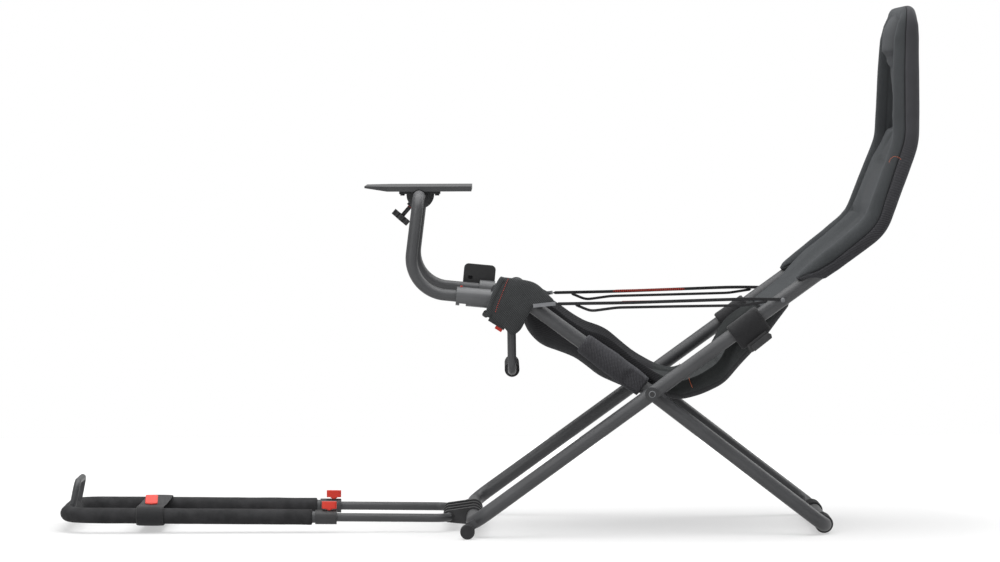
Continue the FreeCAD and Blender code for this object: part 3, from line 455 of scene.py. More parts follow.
nodeFinish = {
    "frame_paint": framePaint, "knit_fabric": panelCloth, "smooth_fabric": smoothCloth,
    "webbing": darkWebbing, "foam_rubber": foamSkin, "black_plastic": blackPlastic,
    "red_plastic": redPlastic, "bolt_steel": boltSteel,
}
ownFinish = {
    "sleeve_left": sleevePaint, "sleeve_right": sleevePaint, "wheel_plate": platePaint,
    "plate_saddle": platePaint, "strap_hooks": greyPlastic, "front_feet": gripRubber,
    "rear_grips": gripRubber, "stop_roller": gripRubber, "shifter_plate": shifterPaint,
}
slotOf = {entry["node"]: entry["material_slot"] for entry in frame["record"]["subparts"]}
for name, piece in frame["nodes"].items():
    finish = ownFinish.get(name, nodeFinish[slotOf[name]])
    piece.data.materials.clear()
    piece.data.materials.append(finish)
print("finishes on the frame's own parts")


rollShape = {
    "spacing": 0.004, "softness": 0.044, "start": 0.343, "around": 96,
    "height": [0.464, 0.478, 0.492, 0.510, 0.530, 0.567, 0.622, 0.700, 0.735, 0.765, 0.860, 0.925,
               0.950, 0.963],
    "front": [0.0205, 0.0235, 0.0250, 0.0268, 0.0285, 0.0335, 0.0335, 0.0335, 0.0340, 0.0345, 0.0335, 0.0310,
              0.0255, 0.0190],
    "back": [-0.0120, -0.0020, 0.0150, 0.0162, 0.0160, 0.0156, 0.0154, 0.0154, 0.0152, 0.0150, 0.0150, 0.0150,
             0.0140, 0.0110],
    "side": [0.0175, 0.0185, 0.0195, 0.0205, 0.0215, 0.0225, 0.0225, 0.0225, 0.0225, 0.0220, 0.0215, 0.0210,
             0.0205, 0.0190],
    "seam": [0.0180, 0.0120, 0.0060, 0.0035, 0.0050, 0.0085, 0.0107, 0.0135, 0.0135, 0.0135, 0.0135, 0.0120,
             0.0100, 0.0080],
    "slopeHeight": [0.53, 0.573, 0.61, 0.70, 0.734, 0.765], "slope": [35.8, 52.0, 69.0, 69.0, 79.0, 88.9],
    "folds": 0.0008, "power": 0.92,
}


def rollPath():
    half = [layout["mainHalf"], layout["mainHalf"], layout["shoulderHalf"], layout["headHalf"]]
    leftSide = [pivot + mainWay * rollShape["start"], lowBend, upperBend, hoopTop]
    leftSide = [point * [1, 0, 1] - [0, y, 0] for point, y in zip(leftSide, half)]
    rightSide = [point * [1, -1, 1] for point in leftSide[::-1]]
    return softPath(leftSide + rightSide, rollShape["spacing"], rollShape["softness"])


def hoopOutward(heights):
    # the way that faces the driver, square to the hoop's slope at each height
    slope = np.radians(np.interp(heights, rollShape["slopeHeight"], rollShape["slope"]))
    return np.stack([-np.sin(slope), np.zeros_like(slope), np.cos(slope)], 1)


def rollProfile(height):
    # how far the roll reaches to the front, back and side, and where its side seam runs, at each height
    return [np.interp(height, rollShape["height"], rollShape[key])
            for key in ("front", "back", "side", "seam")]


def rollRings():
    # an oval round the hoop's path, set towards the driver, with a groove along its side seam
    shape = rollShape
    path = rollPath()
    height = path[:, 2]
    way, across, ahead = pathFrame(path, hoopOutward(height))
    ends = np.maximum(roundedEnds(runLength(path), 0.012), 0.45)
    front, back, side, seam = rollProfile(height)
    c, s = squareSection(shape["around"], shape["power"])
    middle, half = (front - back) / 2, (front + back) / 2 * ends
    deep = middle[:, None] + half[:, None] * s[None]
    wide = side[:, None] * c[None] * (0.5 + 0.5 * ends)[:, None]
    rings = path[:, None] + across[:, None] * wide[..., None] + ahead[:, None] * deep[..., None]
    outward = awayFrom(rings, path + ahead * middle[:, None])
    folds = softFolds(rings, 0.09, 3) * shape["folds"] + softFolds(rings, 0.03, 5) * shape["folds"] * 0.3
    groove = 0.0016 * np.exp(-((deep - seam[:, None]) / 0.0018) ** 2) * (np.abs(c) > 0.35)[None]
    return rings + outward * (folds * ends[:, None] - groove)[..., None]


def paintFront(piece, path, seam, material):
    # the faces ahead of the side seam, and those turned to the middle, take the front's cloth
    piece.data.materials.append(material)
    centres, normals = faceValues(piece, "center"), faceValues(piece, "normal")
    nearest = np.argmin(np.linalg.norm(centres[:, None] - path[None], axis=2), axis=1)
    offset = np.sum((centres - path[nearest]) * hoopOutward(path[nearest, 2]), 1)
    inside = (normals[:, 1] * np.sign(centres[:, 1]) < -0.25) & (offset > -0.006)
    ahead = offset > np.interp(path[nearest, 2], rollShape["height"], seam)
    piece.data.polygons.foreach_set("material_index", (ahead | inside).astype(np.int32))


def rollSeamRings():
    # the joining thread, sunk in the groove that runs along the roll's outer side
    shape = rollShape
    path = rollPath()[6:-6]
    height = path[:, 2]
    way, across, ahead = pathFrame(path, hoopOutward(height))
    front, back, side, seam = rollProfile(height)
    lean = np.clip((seam - (front - back) / 2) / ((front + back) / 2), -0.95, 0.95)
    wide = side * np.sqrt(1 - np.abs(lean) ** (2 / shape["power"])) ** shape["power"] - 0.0012
    line = path + across * wide[:, None] + ahead * seam[:, None]
    return tubeRings(line, 0.0010, (0, 0, 1), 10, 0.001)


roll = meshPiece("backRoll", rollRings())
finishPiece(roll, "frame", twillCloth, ("bolster_left", "bolster_right"))
paintFront(roll, rollPath()[::3], rollShape["seam"], frontCloth)
rollSeam = meshPiece("rollSeam", rollSeamRings())
finishPiece(rollSeam, "frame", hemCloth)
print("back roll made")


panelShape = {
    "start": 0.262, "end": 0.762, "around": 96, "power": 0.30, "spacing": 0.006, "dish": 0.015,
    "sideSeam": 0.105, "waistSeam": 0.585, "shoulderSeam": 0.690, "seamWide": 0.006, "seamDeep": 0.006,
    "sewnBelow": 0.500, "sewnAbove": 0.745, "cap": 0.007,
    "height": [0.418, 0.440, 0.458, 0.476, 0.500, 0.560, 0.690, 0.735, 0.770],
    "front": [0.0020, 0.0040, 0.0060, 0.0160, 0.0250, 0.0335, 0.0325, 0.0230, 0.0140],
    "back": [0.0060, 0.0080, 0.0100, 0.0110, 0.0110, 0.0110, 0.0110, 0.0110, 0.0110],
    "half": [0.2270, 0.2290, 0.2310, 0.2325, 0.2325, 0.2325, 0.2100, 0.1975, 0.1860],
}
headShape = {
    "low": 0.742, "high": 0.981, "front": 0.0385, "back": 0.010, "around": 96,
    "height": [0.742, 0.775, 0.865, 0.900, 0.935, 0.962, 0.985],
    "half": [0.086, 0.079, 0.080, 0.132, 0.124, 0.108, 0.080],
    "fullHeight": [0.742, 0.80, 0.870, 0.900, 0.94, 0.985], "full": [0.50, 0.26, 0.50, 1.0, 0.95, 0.70],
    "seam": 0.893, "seamWide": 0.005, "seamDeep": 0.005, "sewnBelow": 0.760, "sewnAbove": 0.965, "cap": 0.003,
}


def centreLine(startRun, lastHeight):
    points = [pivot + mainWay * startRun, lowBend, upperBend, hoopTop]
    line = softPath([point * [1, 0, 1] for point in points], panelShape["spacing"], 0.060)
    return line[line[:, 2] <= lastHeight]


def panelRings():
    # a wide oval across the seat, hollowed by seams that run up it and one across the waist
    shape = panelShape
    line = centreLine(shape["start"], shape["end"])
    height = line[:, 2]
    ahead = hoopOutward(height)
    half, front, back = [np.interp(height, shape["height"], shape[key]) for key in ("half", "front", "back")]
    c, s = squareSection(shape["around"], shape["power"])
    ends = np.maximum(roundedEnds(runLength(line), 0.012), 0.15)
    y = half[:, None] * c[None]
    puff = np.interp(height, [0.44, 0.50], [0.0, 1.0])[:, None]
    groove = np.exp(-((np.abs(y) - shape["sideSeam"]) / shape["seamWide"]) ** 2)
    waist = np.exp(-((height - shape["waistSeam"]) / shape["seamWide"]) ** 2)[:, None] * (np.abs(y) < 0.2)
    shoulder = np.exp(-((height - shape["shoulderSeam"]) / shape["seamWide"]) ** 2)[:, None]
    shoulder = shoulder * (np.abs(y) < shape["sideSeam"])
    dish = shape["dish"] * puff * (1 - (y / half[:, None]) ** 2)
    faceOut = front[:, None] * (1 + 0.04 * puff * np.cos(pi * np.clip(y / 0.23, -1, 1)))
    faceOut = faceOut - shape["seamDeep"] * puff * np.clip(groove + waist + shoulder, 0, 1)
    deep = np.where(s[None] > 0, faceOut, back[:, None]) * s[None] * ends[:, None] - dish
    rings = line[:, None] + ahead[:, None] * deep[..., None] + y[..., None] * np.array([0, 1, 0])
    folds = softFolds(rings, 0.10, 11) * 0.0016
    return rings + ahead[:, None] * folds[..., None]


def headRings():
    # the neck and head cushion: narrow between the harness openings, then wide, rounded over the top
    shape = headShape
    line = centreLine(shape["low"] - 0.2, shape["high"])
    line = line[line[:, 2] > shape["low"]]
    top = line[-1] + (shape["high"] - line[-1, 2]) * slopeWay(layout["topSlope"])
    line = np.concatenate([line, np.linspace(line[-1], top, 6)[1:]])
    height = line[:, 2]
    ahead = hoopOutward(height)
    half = np.interp(height, shape["height"], shape["half"])
    half = np.convolve(np.pad(half, 3, "edge"), np.ones(7) / 7, "valid")
    ends = np.maximum(roundedEnds(runLength(line), 0.048), 0.05)
    c, s = squareSection(shape["around"], 0.42)
    y = half[:, None] * c[None] * (0.35 + 0.65 * ends)[:, None]
    crown = 1.0 - 0.34 * (y / 0.14) ** 2
    front = shape["front"] * crown * np.interp(height, shape["fullHeight"], shape["full"])[:, None]
    seam = np.exp(-((height - shape["seam"]) / shape["seamWide"]) ** 2)[:, None]
    front = front - shape["seamDeep"] * seam
    deep = np.where(s[None] > 0, front, shape["back"]) * s[None] * ends[:, None]
    rings = line[:, None] + ahead[:, None] * deep[..., None] + y[..., None] * np.array([0, 1, 0])
    folds = softFolds(rings, 0.08, 13) * 0.0014
    return rings + ahead[:, None] * folds[..., None]


panel = meshPiece("backPanel", panelRings())
place = meshPoints(panel)
aside, high = np.abs(place[:, 1]), place[:, 2]
half = np.interp(high, panelShape["height"], panelShape["half"])
sewn = (np.abs(aside - panelShape["sideSeam"]) < 0.005) | (aside > half - 0.018)
sewn |= np.abs(high - panelShape["waistSeam"]) < 0.006
sewn |= (np.abs(high - panelShape["shoulderSeam"]) < 0.006) & (aside < panelShape["sideSeam"])
sewn |= (high < panelShape["sewnBelow"]) | (high > panelShape["sewnAbove"])
puffUp(panel, sewn, panelShape["cap"])
finishPiece(panel, "frame", panelCloth, ("back_panel",))
head = meshPiece("headCushion", headRings())
high = meshPoints(head)[:, 2]
sewn = np.abs(high - headShape["seam"]) < 0.005
sewn |= (high < headShape["sewnBelow"]) | (high > headShape["sewnAbove"])
puffUp(head, sewn, headShape["cap"])
finishPiece(head, "frame", smoothCloth, ("head_pad",))
print("back panel and head cushion made")


slingShape = {
    "line": [(0.066, 0.438), (0.071, 0.420), (0.079, 0.388), (0.101, 0.362), (0.135, 0.351), (0.168, 0.338),
             (0.212, 0.303), (0.255, 0.284), (0.300, 0.272), (0.355, 0.261), (0.392, 0.2705), (0.430, 0.288),
             (0.467, 0.329), (0.500, 0.364), (0.530, 0.407), (0.552, 0.438)],
    "x": [0.064, 0.080, 0.105, 0.133, 0.170, 0.192, 0.212, 0.235, 0.268, 0.300, 0.322, 0.346, 0.380, 0.405,
          0.425, 0.440, 0.452, 0.470, 0.500, 0.552],
    "lift": [0.004, 0.045, 0.070, 0.054, 0.043, 0.055, 0.064, 0.058, 0.041, 0.028, 0.022, 0.018, 0.022, 0.026,
             0.030, 0.034, 0.052, 0.052, 0.040, 0.006],
    "half": [0.176, 0.188, 0.200, 0.203, 0.203, 0.203, 0.203, 0.203, 0.203, 0.206, 0.212, 0.224, 0.231, 0.232,
             0.232, 0.230, 0.226, 0.226, 0.228, 0.227],
    "thick": 0.0125, "around": 144, "folds": 0.0018, "wall": 6.0,
    "channelStart": 0.030, "channelPitch": 0.075, "bagStart": 0.315, "hem": 0.002,
}


def slingRings():
    # a wide flat oval whose edges stand up as side walls to the tubes, with sewn channels across it
    shape = slingShape
    line = softPath([(x, 0.0, z) for x, z in shape["line"]], 0.005, 0.025)
    x = line[:, 0]
    way, across, up = pathFrame(line, (0, 0, 1))
    smooth = np.hanning(13) / np.hanning(13).sum()
    half, lift = [np.convolve(np.pad(np.interp(x, shape["x"], shape[key]), 6, "edge"), smooth, "valid")
                  for key in ("half", "lift")]
    c, s = squareSection(shape["around"], 0.30)
    ends = np.maximum(roundedEnds(runLength(line), 0.012), 0.15)
    y = half[:, None] * c[None]
    reach = runLength(line)[:, None]
    pitch = shape["channelPitch"]
    channel = np.exp(-(((reach + shape["channelStart"]) % pitch - pitch / 2) / 0.005) ** 2)
    channel = channel * (np.abs(y) < half[:, None] - 0.035)
    edge = np.exp(-((np.abs(y) - half[:, None] + 0.030) / 0.006) ** 2)
    thick = shape["thick"] * (1.10 - 0.35 * np.clip(channel + edge, 0, 1) * (s > 0)[None])
    deep = thick * s[None] * ends[:, None]
    rings = line[:, None] + up[:, None] * deep[..., None] + y[..., None] * np.array([0, 1, 0])
    rings[..., 2] += lift[:, None] * np.abs(y / half[:, None]) ** shape["wall"]
    folds = softFolds(rings * [1.0, 0.35, 1.0], 0.075, 21) * shape["folds"] * np.where(s > 0, 1.0, 0.35)[None]
    return rings + up[:, None] * folds[..., None]


sling = meshPiece("seatSling", slingRings())
for cloth in (slingCloth, bagCloth, hemCloth):
    sling.data.materials.append(cloth)
centres = faceValues(sling, "center")
lineX, lineZ = np.array(slingShape["line"]).T
raised = centres[:, 2] - np.interp(centres[:, 0], lineX, lineZ)
# in the bag, faces above the centre line take the bag cloth; faces at and below it take near-black cloth, painted
# shade on the bag's underside
bag = centres[:, 0] > slingShape["bagStart"]
wall = bag & (raised > slingShape["hem"])
hem = bag & (raised <= slingShape["hem"])
sling.data.polygons.foreach_set("material_index", (wall + 2 * hem).astype(np.int32))
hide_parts("seat_front_pad", "seat_rear_pad")
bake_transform(sling)
print("seat sling made")


frontShape = {"rollHalf": 0.1775, "rollRadius": 0.0166}
flapShape = {
    "outline": [(-0.0266, 0.0335), (-0.0186, 0.0326), (0.004, 0.0300), (0.0277, 0.0255), (0.041, 0.018),
                (0.0542, 0.0046), (0.0735, -0.0143), (0.050, -0.0172), (0.0305, -0.0194),
                (0.0238, -0.0313), (0.0132, -0.0526), (0.0053, -0.0671), (-0.012, -0.0777),
                (-0.0251, -0.0579), (-0.0437, -0.0486), (-0.0535, -0.0420), (-0.0550, -0.0261),
                (-0.0483, -0.0102), (-0.0404, 0.011), (-0.0338, 0.0256)],
    "roll": [(-0.0245, 0.0335), (-0.0305, 0.0260), (-0.0385, 0.0085), (-0.0465, -0.0115),
             (-0.0525, -0.0285), (-0.0500, -0.0420)],
    "stitch": [(-0.0168, 0.0295), (-0.0205, 0.0215), (-0.0266, 0.0058), (-0.0318, -0.0076),
               (-0.0372, -0.0207), (-0.0400, -0.0300)],
    "centre": (-0.006, -0.018), "stitchOut": 0.2450, "folds": 0.0022, "rightDrop": 0.020,
    "inner": 0.2342, "thick": 0.0105, "rollRadius": 0.0058, "rings": 30, "around": 200,
}


def frontRollRings():
    # a padded roll round the front bar, round in section with low folds over it
    line = softPath([seatBar * [1, 0, 1] + [0, -frontShape["rollHalf"], 0],
                     seatBar * [1, 0, 1] + [0, frontShape["rollHalf"], 0]], 0.006, 0.0)
    rings = tubeRings(line, frontShape["rollRadius"], (0, 0, 1), 40, 0.006)
    outward = awayFrom(rings, line)
    return rings + outward * (softFolds(rings, 0.07, 31) * 0.0012)[..., None]


def roundOutline(corners, count, rounds=3):
    # cuts every corner a quarter of the way in, a few times over, then walks the loop in even steps
    loop = np.asarray(corners, float)
    for cut in range(rounds):
        after = np.roll(loop, -1, axis=0)
        loop = np.stack([0.75 * loop + 0.25 * after, 0.25 * loop + 0.75 * after], 1)
        loop = loop.reshape(-1, after.shape[1])
    closed = np.concatenate([loop, loop[:1]])
    reach = runLength(closed)
    steps = np.linspace(0, reach[-1], count, endpoint=False)
    return np.stack([np.interp(steps, reach, closed[:, k]) for k in range(loop.shape[1])], 1)


def plumpRings(outline, centre, inward, thick, rings, origin, sideways):
    # the outline shrunk to its centre in shells: over the face, round the rim, back along the inner side
    angle = np.linspace(0.04, pi - 0.04, rings)
    size = np.sin(angle) ** 0.32
    deep = inward + thick * (0.5 - 0.5 * np.sign(np.cos(angle)) * np.abs(np.cos(angle)) ** 0.7)
    flat = centre + (outline - centre)[None] * size[:, None, None]
    y = np.broadcast_to(deep[:, None], flat.shape[:2])
    return np.stack([origin[0] + flat[..., 0], sideways * y, origin[2] + flat[..., 1]], -1)


def flapPlace(points, sideways, outer):
    # side-view corners put beside the leg tube; the right flap's top edge lies lower
    corners = np.array(points)
    if sideways > 0:
        corners[:, 1] -= flapShape["rightDrop"] * np.clip((corners[:, 1] + 0.025) / 0.040, 0, 1)
    if outer is None:
        return corners
    aside = np.full(len(corners), outer * sideways)
    return np.stack([seatBar[0] + corners[:, 0], aside, seatBar[2] + corners[:, 1]], 1)


def flapRings(sideways):
    shape = flapShape
    outline = roundOutline(flapPlace(shape["outline"], sideways, None), shape["around"], 2)
    rings = plumpRings(outline, np.array(shape["centre"]), shape["inner"], shape["thick"], shape["rings"],
                       seatBar, sideways)
    folds = softFolds(rings, 0.05, 41) * shape["folds"]
    return rings + np.array([0, sideways, 0]) * (folds * (np.abs(rings[..., 1]) > 0.238))[..., None]


def flapEdgeRings(sideways):
    # the hem rolled along the flap's front edge
    shape = flapShape
    line = softPath(flapPlace(shape["roll"], sideways, shape["inner"] + 0.0062), 0.002, 0.012)
    return tubeRings(line, shape["rollRadius"], (0, sideways, 0), 28, 0.005)


sleeveShape = {
    "start": 0.162, "end": 0.016, "radius": [0.0170, 0.0200, 0.0215, 0.0220, 0.0200],
    "room": [0.030, 0.024, 0.0143, 0.0143], "folds": 0.0011,
}


def sleeveRings(sideways):
    # padding round a leg tube, gathered at its ends and pressed flat where the main tube passes it
    y = sideways * layout["legHalf"]
    start = pivot - seatWay * sleeveShape["start"] + [0, y, 0]
    end = pivot - seatWay * sleeveShape["end"] + [0, y, 0]
    line = softPath([start, end], 0.004, 0.0)
    reach = runLength(line)
    radius = np.interp(reach, [0, 0.010, 0.05, 0.10, reach[-1]], sleeveShape["radius"])
    rings = tubeRings(line, radius, (0, 0, 1), 64, 0.004)
    outward = awayFrom(rings, line)
    folds = softFolds(rings * [1.0, 0.5, 1.0], 0.035, 51) * sleeveShape["folds"]
    rings = rings + outward * (folds * np.clip(reach / 0.02, 0, 1)[:, None])[..., None]
    room = np.interp(reach, [0, 0.090, 0.108, reach[-1]], sleeveShape["room"])[:, None]
    rings[..., 1] = y + sideways * np.minimum(sideways * (rings[..., 1] - y), room)
    return rings


frontRoll = meshPiece("frontRoll", frontRollRings())
finishPiece(frontRoll, "leg_frame", smoothCloth, ("seat_front_roll",))
for side, sideways in sides:
    flap = joinPieces("cornerFlap_" + side, [meshPiece("flapFace", flapRings(sideways), sideUv=True),
                                             meshPiece("flapEdge", flapEdgeRings(sideways), sideUv=True)])
    finishPiece(flap, "leg_frame", flapCloth, ("corner_flap_" + side,))
    sleeve = meshPiece("legSleeve_" + side, sleeveRings(sideways))
    finishPiece(sleeve, "leg_frame", twillCloth, ("leg_sleeve_" + side,))
print("front roll, flaps and sleeves made")


bandShape = {"near": 0.184, "far": 0.250, "radius": 0.0200, "tail": 0.033, "buckleDrop": 0.0385}


def bandLoopRings(sideways):
    # the closing strap: an egg-shaped section round the tube, drawn out below where the strap doubles back
    y = sideways * layout["mainHalf"]
    line = softPath([pivot + mainWay * bandShape["near"] + [0, y, 0],
                     pivot + mainWay * bandShape["far"] + [0, y, 0]], 0.003, 0.0)
    way, across, up = pathFrame(line, (0, 0, 1))
    turn = np.linspace(0, 2 * pi, 64, endpoint=False)
    c, s = np.cos(turn), np.sin(turn)
    below = np.clip(-s, 0, 1) ** 3
    wide = bandShape["radius"] * (1 - 0.42 * below)
    deep = bandShape["radius"] + (bandShape["tail"] - bandShape["radius"]) * below
    ends = np.maximum(roundedEnds(runLength(line), 0.004), 0.55)[:, None]
    trim = 0.80 + 0.20 * ends
    rings = (line[:, None] + across[:, None] * (wide * c * trim)[..., None]
             + up[:, None] * (deep * s * trim)[..., None])
    outward = awayFrom(rings, line)
    return rings + outward * (softFolds(rings, 0.03, 61) * 0.0009)[..., None]


def buckleRings(sideways, layer):
    # a plate that hangs below the strap, its face to the side
    y = sideways * (layout["mainHalf"] + 0.004 + 0.0062 * layer)
    below = np.array([mainWay[2], 0, -mainWay[0]])
    centre = bandShape["buckleDrop"] + 0.0030 * layer
    start = pivot + mainWay * (bandShape["near"] + 0.009 + 0.005 * layer) + below * centre + [0, y, 0]
    end = pivot + mainWay * (bandShape["far"] - 0.008 + 0.002 * layer) + below * (centre - 0.002) + [0, y, 0]
    line = softPath([start, end], 0.003, 0.0)
    return bandRings(line, (0, sideways, 0), 0.0170 - 0.0045 * layer, 0.0055, 0.30, 36, 0.003)


for side, sideways in sides:
    band = meshPiece("backBand_" + side, bandLoopRings(sideways))
    finishPiece(band, "frame", darkWebbing, ("back_band_" + side,))
    buckle = joinPieces("bandBuckle_" + side,
                        [meshPiece("buckleLayer", buckleRings(sideways, layer)) for layer in (0, 1)])
    finishPiece(buckle, "frame", blackPlastic)
print("bands and buckles made")


strapShape = {"front": (0.121, 0.2450, 0.4345), "rearSide": 0.2745,
              "wide": 0.0060, "thick": 0.0028, "rearRun": 0.300}


def strapEnds(sideways):
    front = np.array(strapShape["front"]) * [1, sideways, 1]
    rear = pivot + mainWay * strapShape["rearRun"] + [0, sideways * strapShape["rearSide"], 0]
    return front, rear


def upperStrapRings(sideways):
    front, rear = strapEnds(sideways)
    line = softPath([front, front + (rear - front) * 0.3 + [0, 0, -0.0005],
                     front + (rear - front) * 0.85 + [0, 0, 0.0025], rear], 0.006, 0.06)
    return bandRings(line, (0, sideways, 0), strapShape["wide"], strapShape["thick"], 0.4, 20, 0.003)


def lowerStrapRings(sideways):
    front, rear = strapEnds(sideways)
    points = [front + [0.036, 0.0, -0.001], front + [0.066, sideways * 0.002, -0.0135],
              front + [0.115, sideways * 0.005, -0.0070], front + [0.220, sideways * 0.012, -0.0050],
              rear + [-0.075, 0.0, -0.0105], rear + [-0.030, 0.0, -0.0035]]
    line = softPath(points, 0.004, 0.018)
    wide, thick = strapShape["wide"] * 0.85, strapShape["thick"] * 0.9
    return bandRings(line, (0, sideways, 0), wide, thick, 0.4, 20, 0.003)


def liningRings(sideways):
    # the coloured lining that shows along a strap's inner edge
    front, rear = strapEnds(sideways)
    line = softPath([front + (rear - front) * 0.28, front + (rear - front) * 0.62], 0.006, 0.0)
    line = line + [0, -sideways * 0.0030, 0.0006]
    return bandRings(line, (0, sideways, 0), 0.0050, 0.0016, 0.4, 16, 0.003)


for side, sideways in sides:
    for part, rings, finish in (("upperStrap_", upperStrapRings(sideways), darkWebbing),
                                ("lowerStrap_", lowerStrapRings(sideways), darkWebbing),
                                ("strapLining_", liningRings(sideways), liningCloth)):
        strap = meshPiece(part + side, rings)
        strap.data.materials.append(finish)
        if part == "upperStrap_":
            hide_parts("side_straps")
        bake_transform(strap)
print("side straps made")


foamShape = {"radius": 0.01475, "start": 0.2980, "end": 0.768, "corner": 0.050, "strapPlace": 0.609}


def railPoint(reach, y=0.0):
    return railStart + railWay * reach + np.array([0.0, y, 0.0])


def foamRings():
    # one sleeve of foam along both rails and their end run, the corners rounded to the tube's own bend
    half = layout["railHalf"]
    start, end, corner = foamShape["start"], foamShape["end"], foamShape["corner"]
    turn = np.linspace(0, pi / 2, 17)
    bend = np.stack([end - corner + corner * np.sin(turn), half - corner + corner * np.cos(turn)], 1)
    run = np.stack([np.linspace(start, end - corner, 60)[:-1], np.full(59, half)], 1)
    across = np.stack([np.full(30, end), np.linspace(half - corner, corner - half, 32)[1:-1]], 1)
    back = np.concatenate([run, bend])
    other = back[::-1] * [1, -1]
    flat = np.concatenate([back, across, other])
    line = railStart + flat[:, :1] * railWay + flat[:, 1:] * np.array([0, 1.0, 0])
    rings = tubeRings(line, foamShape["radius"], railUp, 32, 0.003)
    outward = awayFrom(rings, line)
    return rings + outward * (softFolds(rings, 0.06, 71) * 0.0004)[..., None]


def heelRings():
    # the heel strap: a flat loop round both rails, straight above and below, round at its ends
    half, radius = layout["railHalf"], foamShape["radius"] + 0.0022
    turn = np.linspace(-pi / 2, pi / 2, 20)
    rightEnd = np.stack([half + radius * np.cos(turn), radius * np.sin(turn)], 1)
    topRun = np.stack([np.linspace(half, -half, 44)[1:-1], np.full(42, radius)], 1)
    topRun[:, 1] -= 0.0020 * np.sin(np.linspace(0, pi, 42))
    leftEnd = -rightEnd
    lowRun = np.stack([np.linspace(-half, half, 44)[1:-1], np.full(42, -radius)], 1)
    loop = np.concatenate([rightEnd, topRun, leftEnd, lowRun])
    outward = np.concatenate([np.stack([np.cos(turn), np.sin(turn)], 1), np.tile([0.0, 1.0], (42, 1)),
                              -np.stack([np.cos(turn), np.sin(turn)], 1), np.tile([0.0, -1.0], (42, 1))])
    section = roundOutline([(-0.026, -0.0012), (0.026, -0.0012), (0.026, 0.0018), (-0.026, 0.0018)], 36, 2)
    spot = loop[:, None] + outward[:, None] * section[None, :, 1:]
    return (railPoint(foamShape["strapPlace"])[None, None] + section[None, :, :1] * railWay
            + spot[..., :1] * np.array([0, 1.0, 0]) + spot[..., 1:] * railUp)


def ringPiece(name, rings):
    # a loop closed on itself: the last station joins the first
    rings = np.asarray(rings)
    m, n = rings.shape[:2]
    i, j = np.meshgrid(np.arange(m), np.arange(n), indexing="ij")
    nextI, nextJ = (i + 1) % m, (j + 1) % n
    quads = np.stack([i * n + j, i * n + nextJ, nextI * n + nextJ, nextI * n + j], -1).reshape(-1, 4)
    verts = rings.reshape(-1, 3)
    around = runLength(np.concatenate([rings[0], rings[0][:1]]))
    along = runLength(np.concatenate([rings.mean(1), rings.mean(1)[:1]]))
    uv = gridUv(along, around, i, j).reshape(-1, 4, 2)
    if signedVolume(verts, quads) < 0:
        quads, uv = quads[:, ::-1], uv[:, ::-1]
    return makePiece(name, verts, quads.tolist(), uv)


foam = meshPiece("railFoam", foamRings())
finishPiece(foam, "pedal_frame", foamSkin, ("rail_foam_left", "rail_foam_right", "end_foam"))
heel = ringPiece("heelStrap", heelRings())
finishPiece(heel, "pedal_frame", darkWebbing, ("heel_strap",))
tabShape = {"turn": 40.0, "fromRail": 0.035, "high": 0.0278, "half": 0.013, "wide": 0.0235, "thick": 0.0036}
tilt = radians(tabShape["turn"])
tabWay = np.array([0, np.cos(tilt), 0]) + railUp * np.sin(tilt)
tabMiddle = railPoint(foamShape["strapPlace"], tabShape["fromRail"] - layout["railHalf"])
tabMiddle = tabMiddle + railUp * tabShape["high"]
tabLine = softPath([tabMiddle - tabWay * tabShape["half"], tabMiddle + tabWay * tabShape["half"]], 0.002, 0.0)
tab = meshPiece("strapTab", bandRings(tabLine, railUp, tabShape["wide"], tabShape["thick"], 0.3, 28, 0.003))
finishPiece(tab, "pedal_frame", redPlastic)
print("pedal foam and heel strap made")


def gripRings(sideways):
    # a rubber sleeve with ribs: the radius rises and falls along it
    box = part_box("rear_grips")
    centre = (np.array(box[0]) + np.array(box[1])) / 2
    outer = sideways * box[1][1]
    inner = outer - sideways * 0.080
    line = np.stack([np.full(101, centre[0]), np.linspace(outer, inner, 101), np.full(101, centre[2])], 1)
    reach = runLength(line)
    ribs = 0.5 + 0.5 * np.cos(2 * pi * reach / 0.0066)
    return tubeRings(line, 0.0158 + 0.0012 * ribs ** 0.5, (0, 0, 1), 48, 0.002)


grips = joinPieces("rearGrips", [meshPiece("grip", gripRings(sideways)) for sideways in (-1.0, 1.0)])
finishPiece(grips, "leg_frame", gripRubber, ("rear_grips",))


def domeRings(centre, way, radius, high):
    # a low dome: circles that shrink as the height follows a quarter turn
    way = np.asarray(way, float) / np.linalg.norm(way)
    side = np.cross(way, [0.3, 0.2, 1.0])
    side /= np.linalg.norm(side)
    other = np.cross(way, side)
    rise = np.linspace(0.0, pi / 2 - 0.03, 9)
    size = np.concatenate([[radius], radius * np.cos(rise)])
    lift = np.concatenate([[-high], high * np.sin(rise)])
    c, s = squareSection(28, 1.0)
    return (np.asarray(centre) + way * lift[:, None, None]
            + size[:, None, None] * (side * c[:, None] + other * s[:, None])[None])


def stitchRun(name, points, outward, gapLong=0.0045, thick=0.0007):
    # a row of short threads along a line
    line = softPath(points, gapLong, 0.012)
    way = np.gradient(line, axis=0)
    way /= np.linalg.norm(way, axis=1, keepdims=True)
    pieces = []
    for centre, along in zip(line, way):
        run = np.linspace(centre - along * gapLong * 0.33, centre + along * gapLong * 0.33, 5)
        pieces.append(meshPiece(name, tubeRings(run, thick, outward, 8, thick * 1.5)))
    return joinPieces(name, pieces)


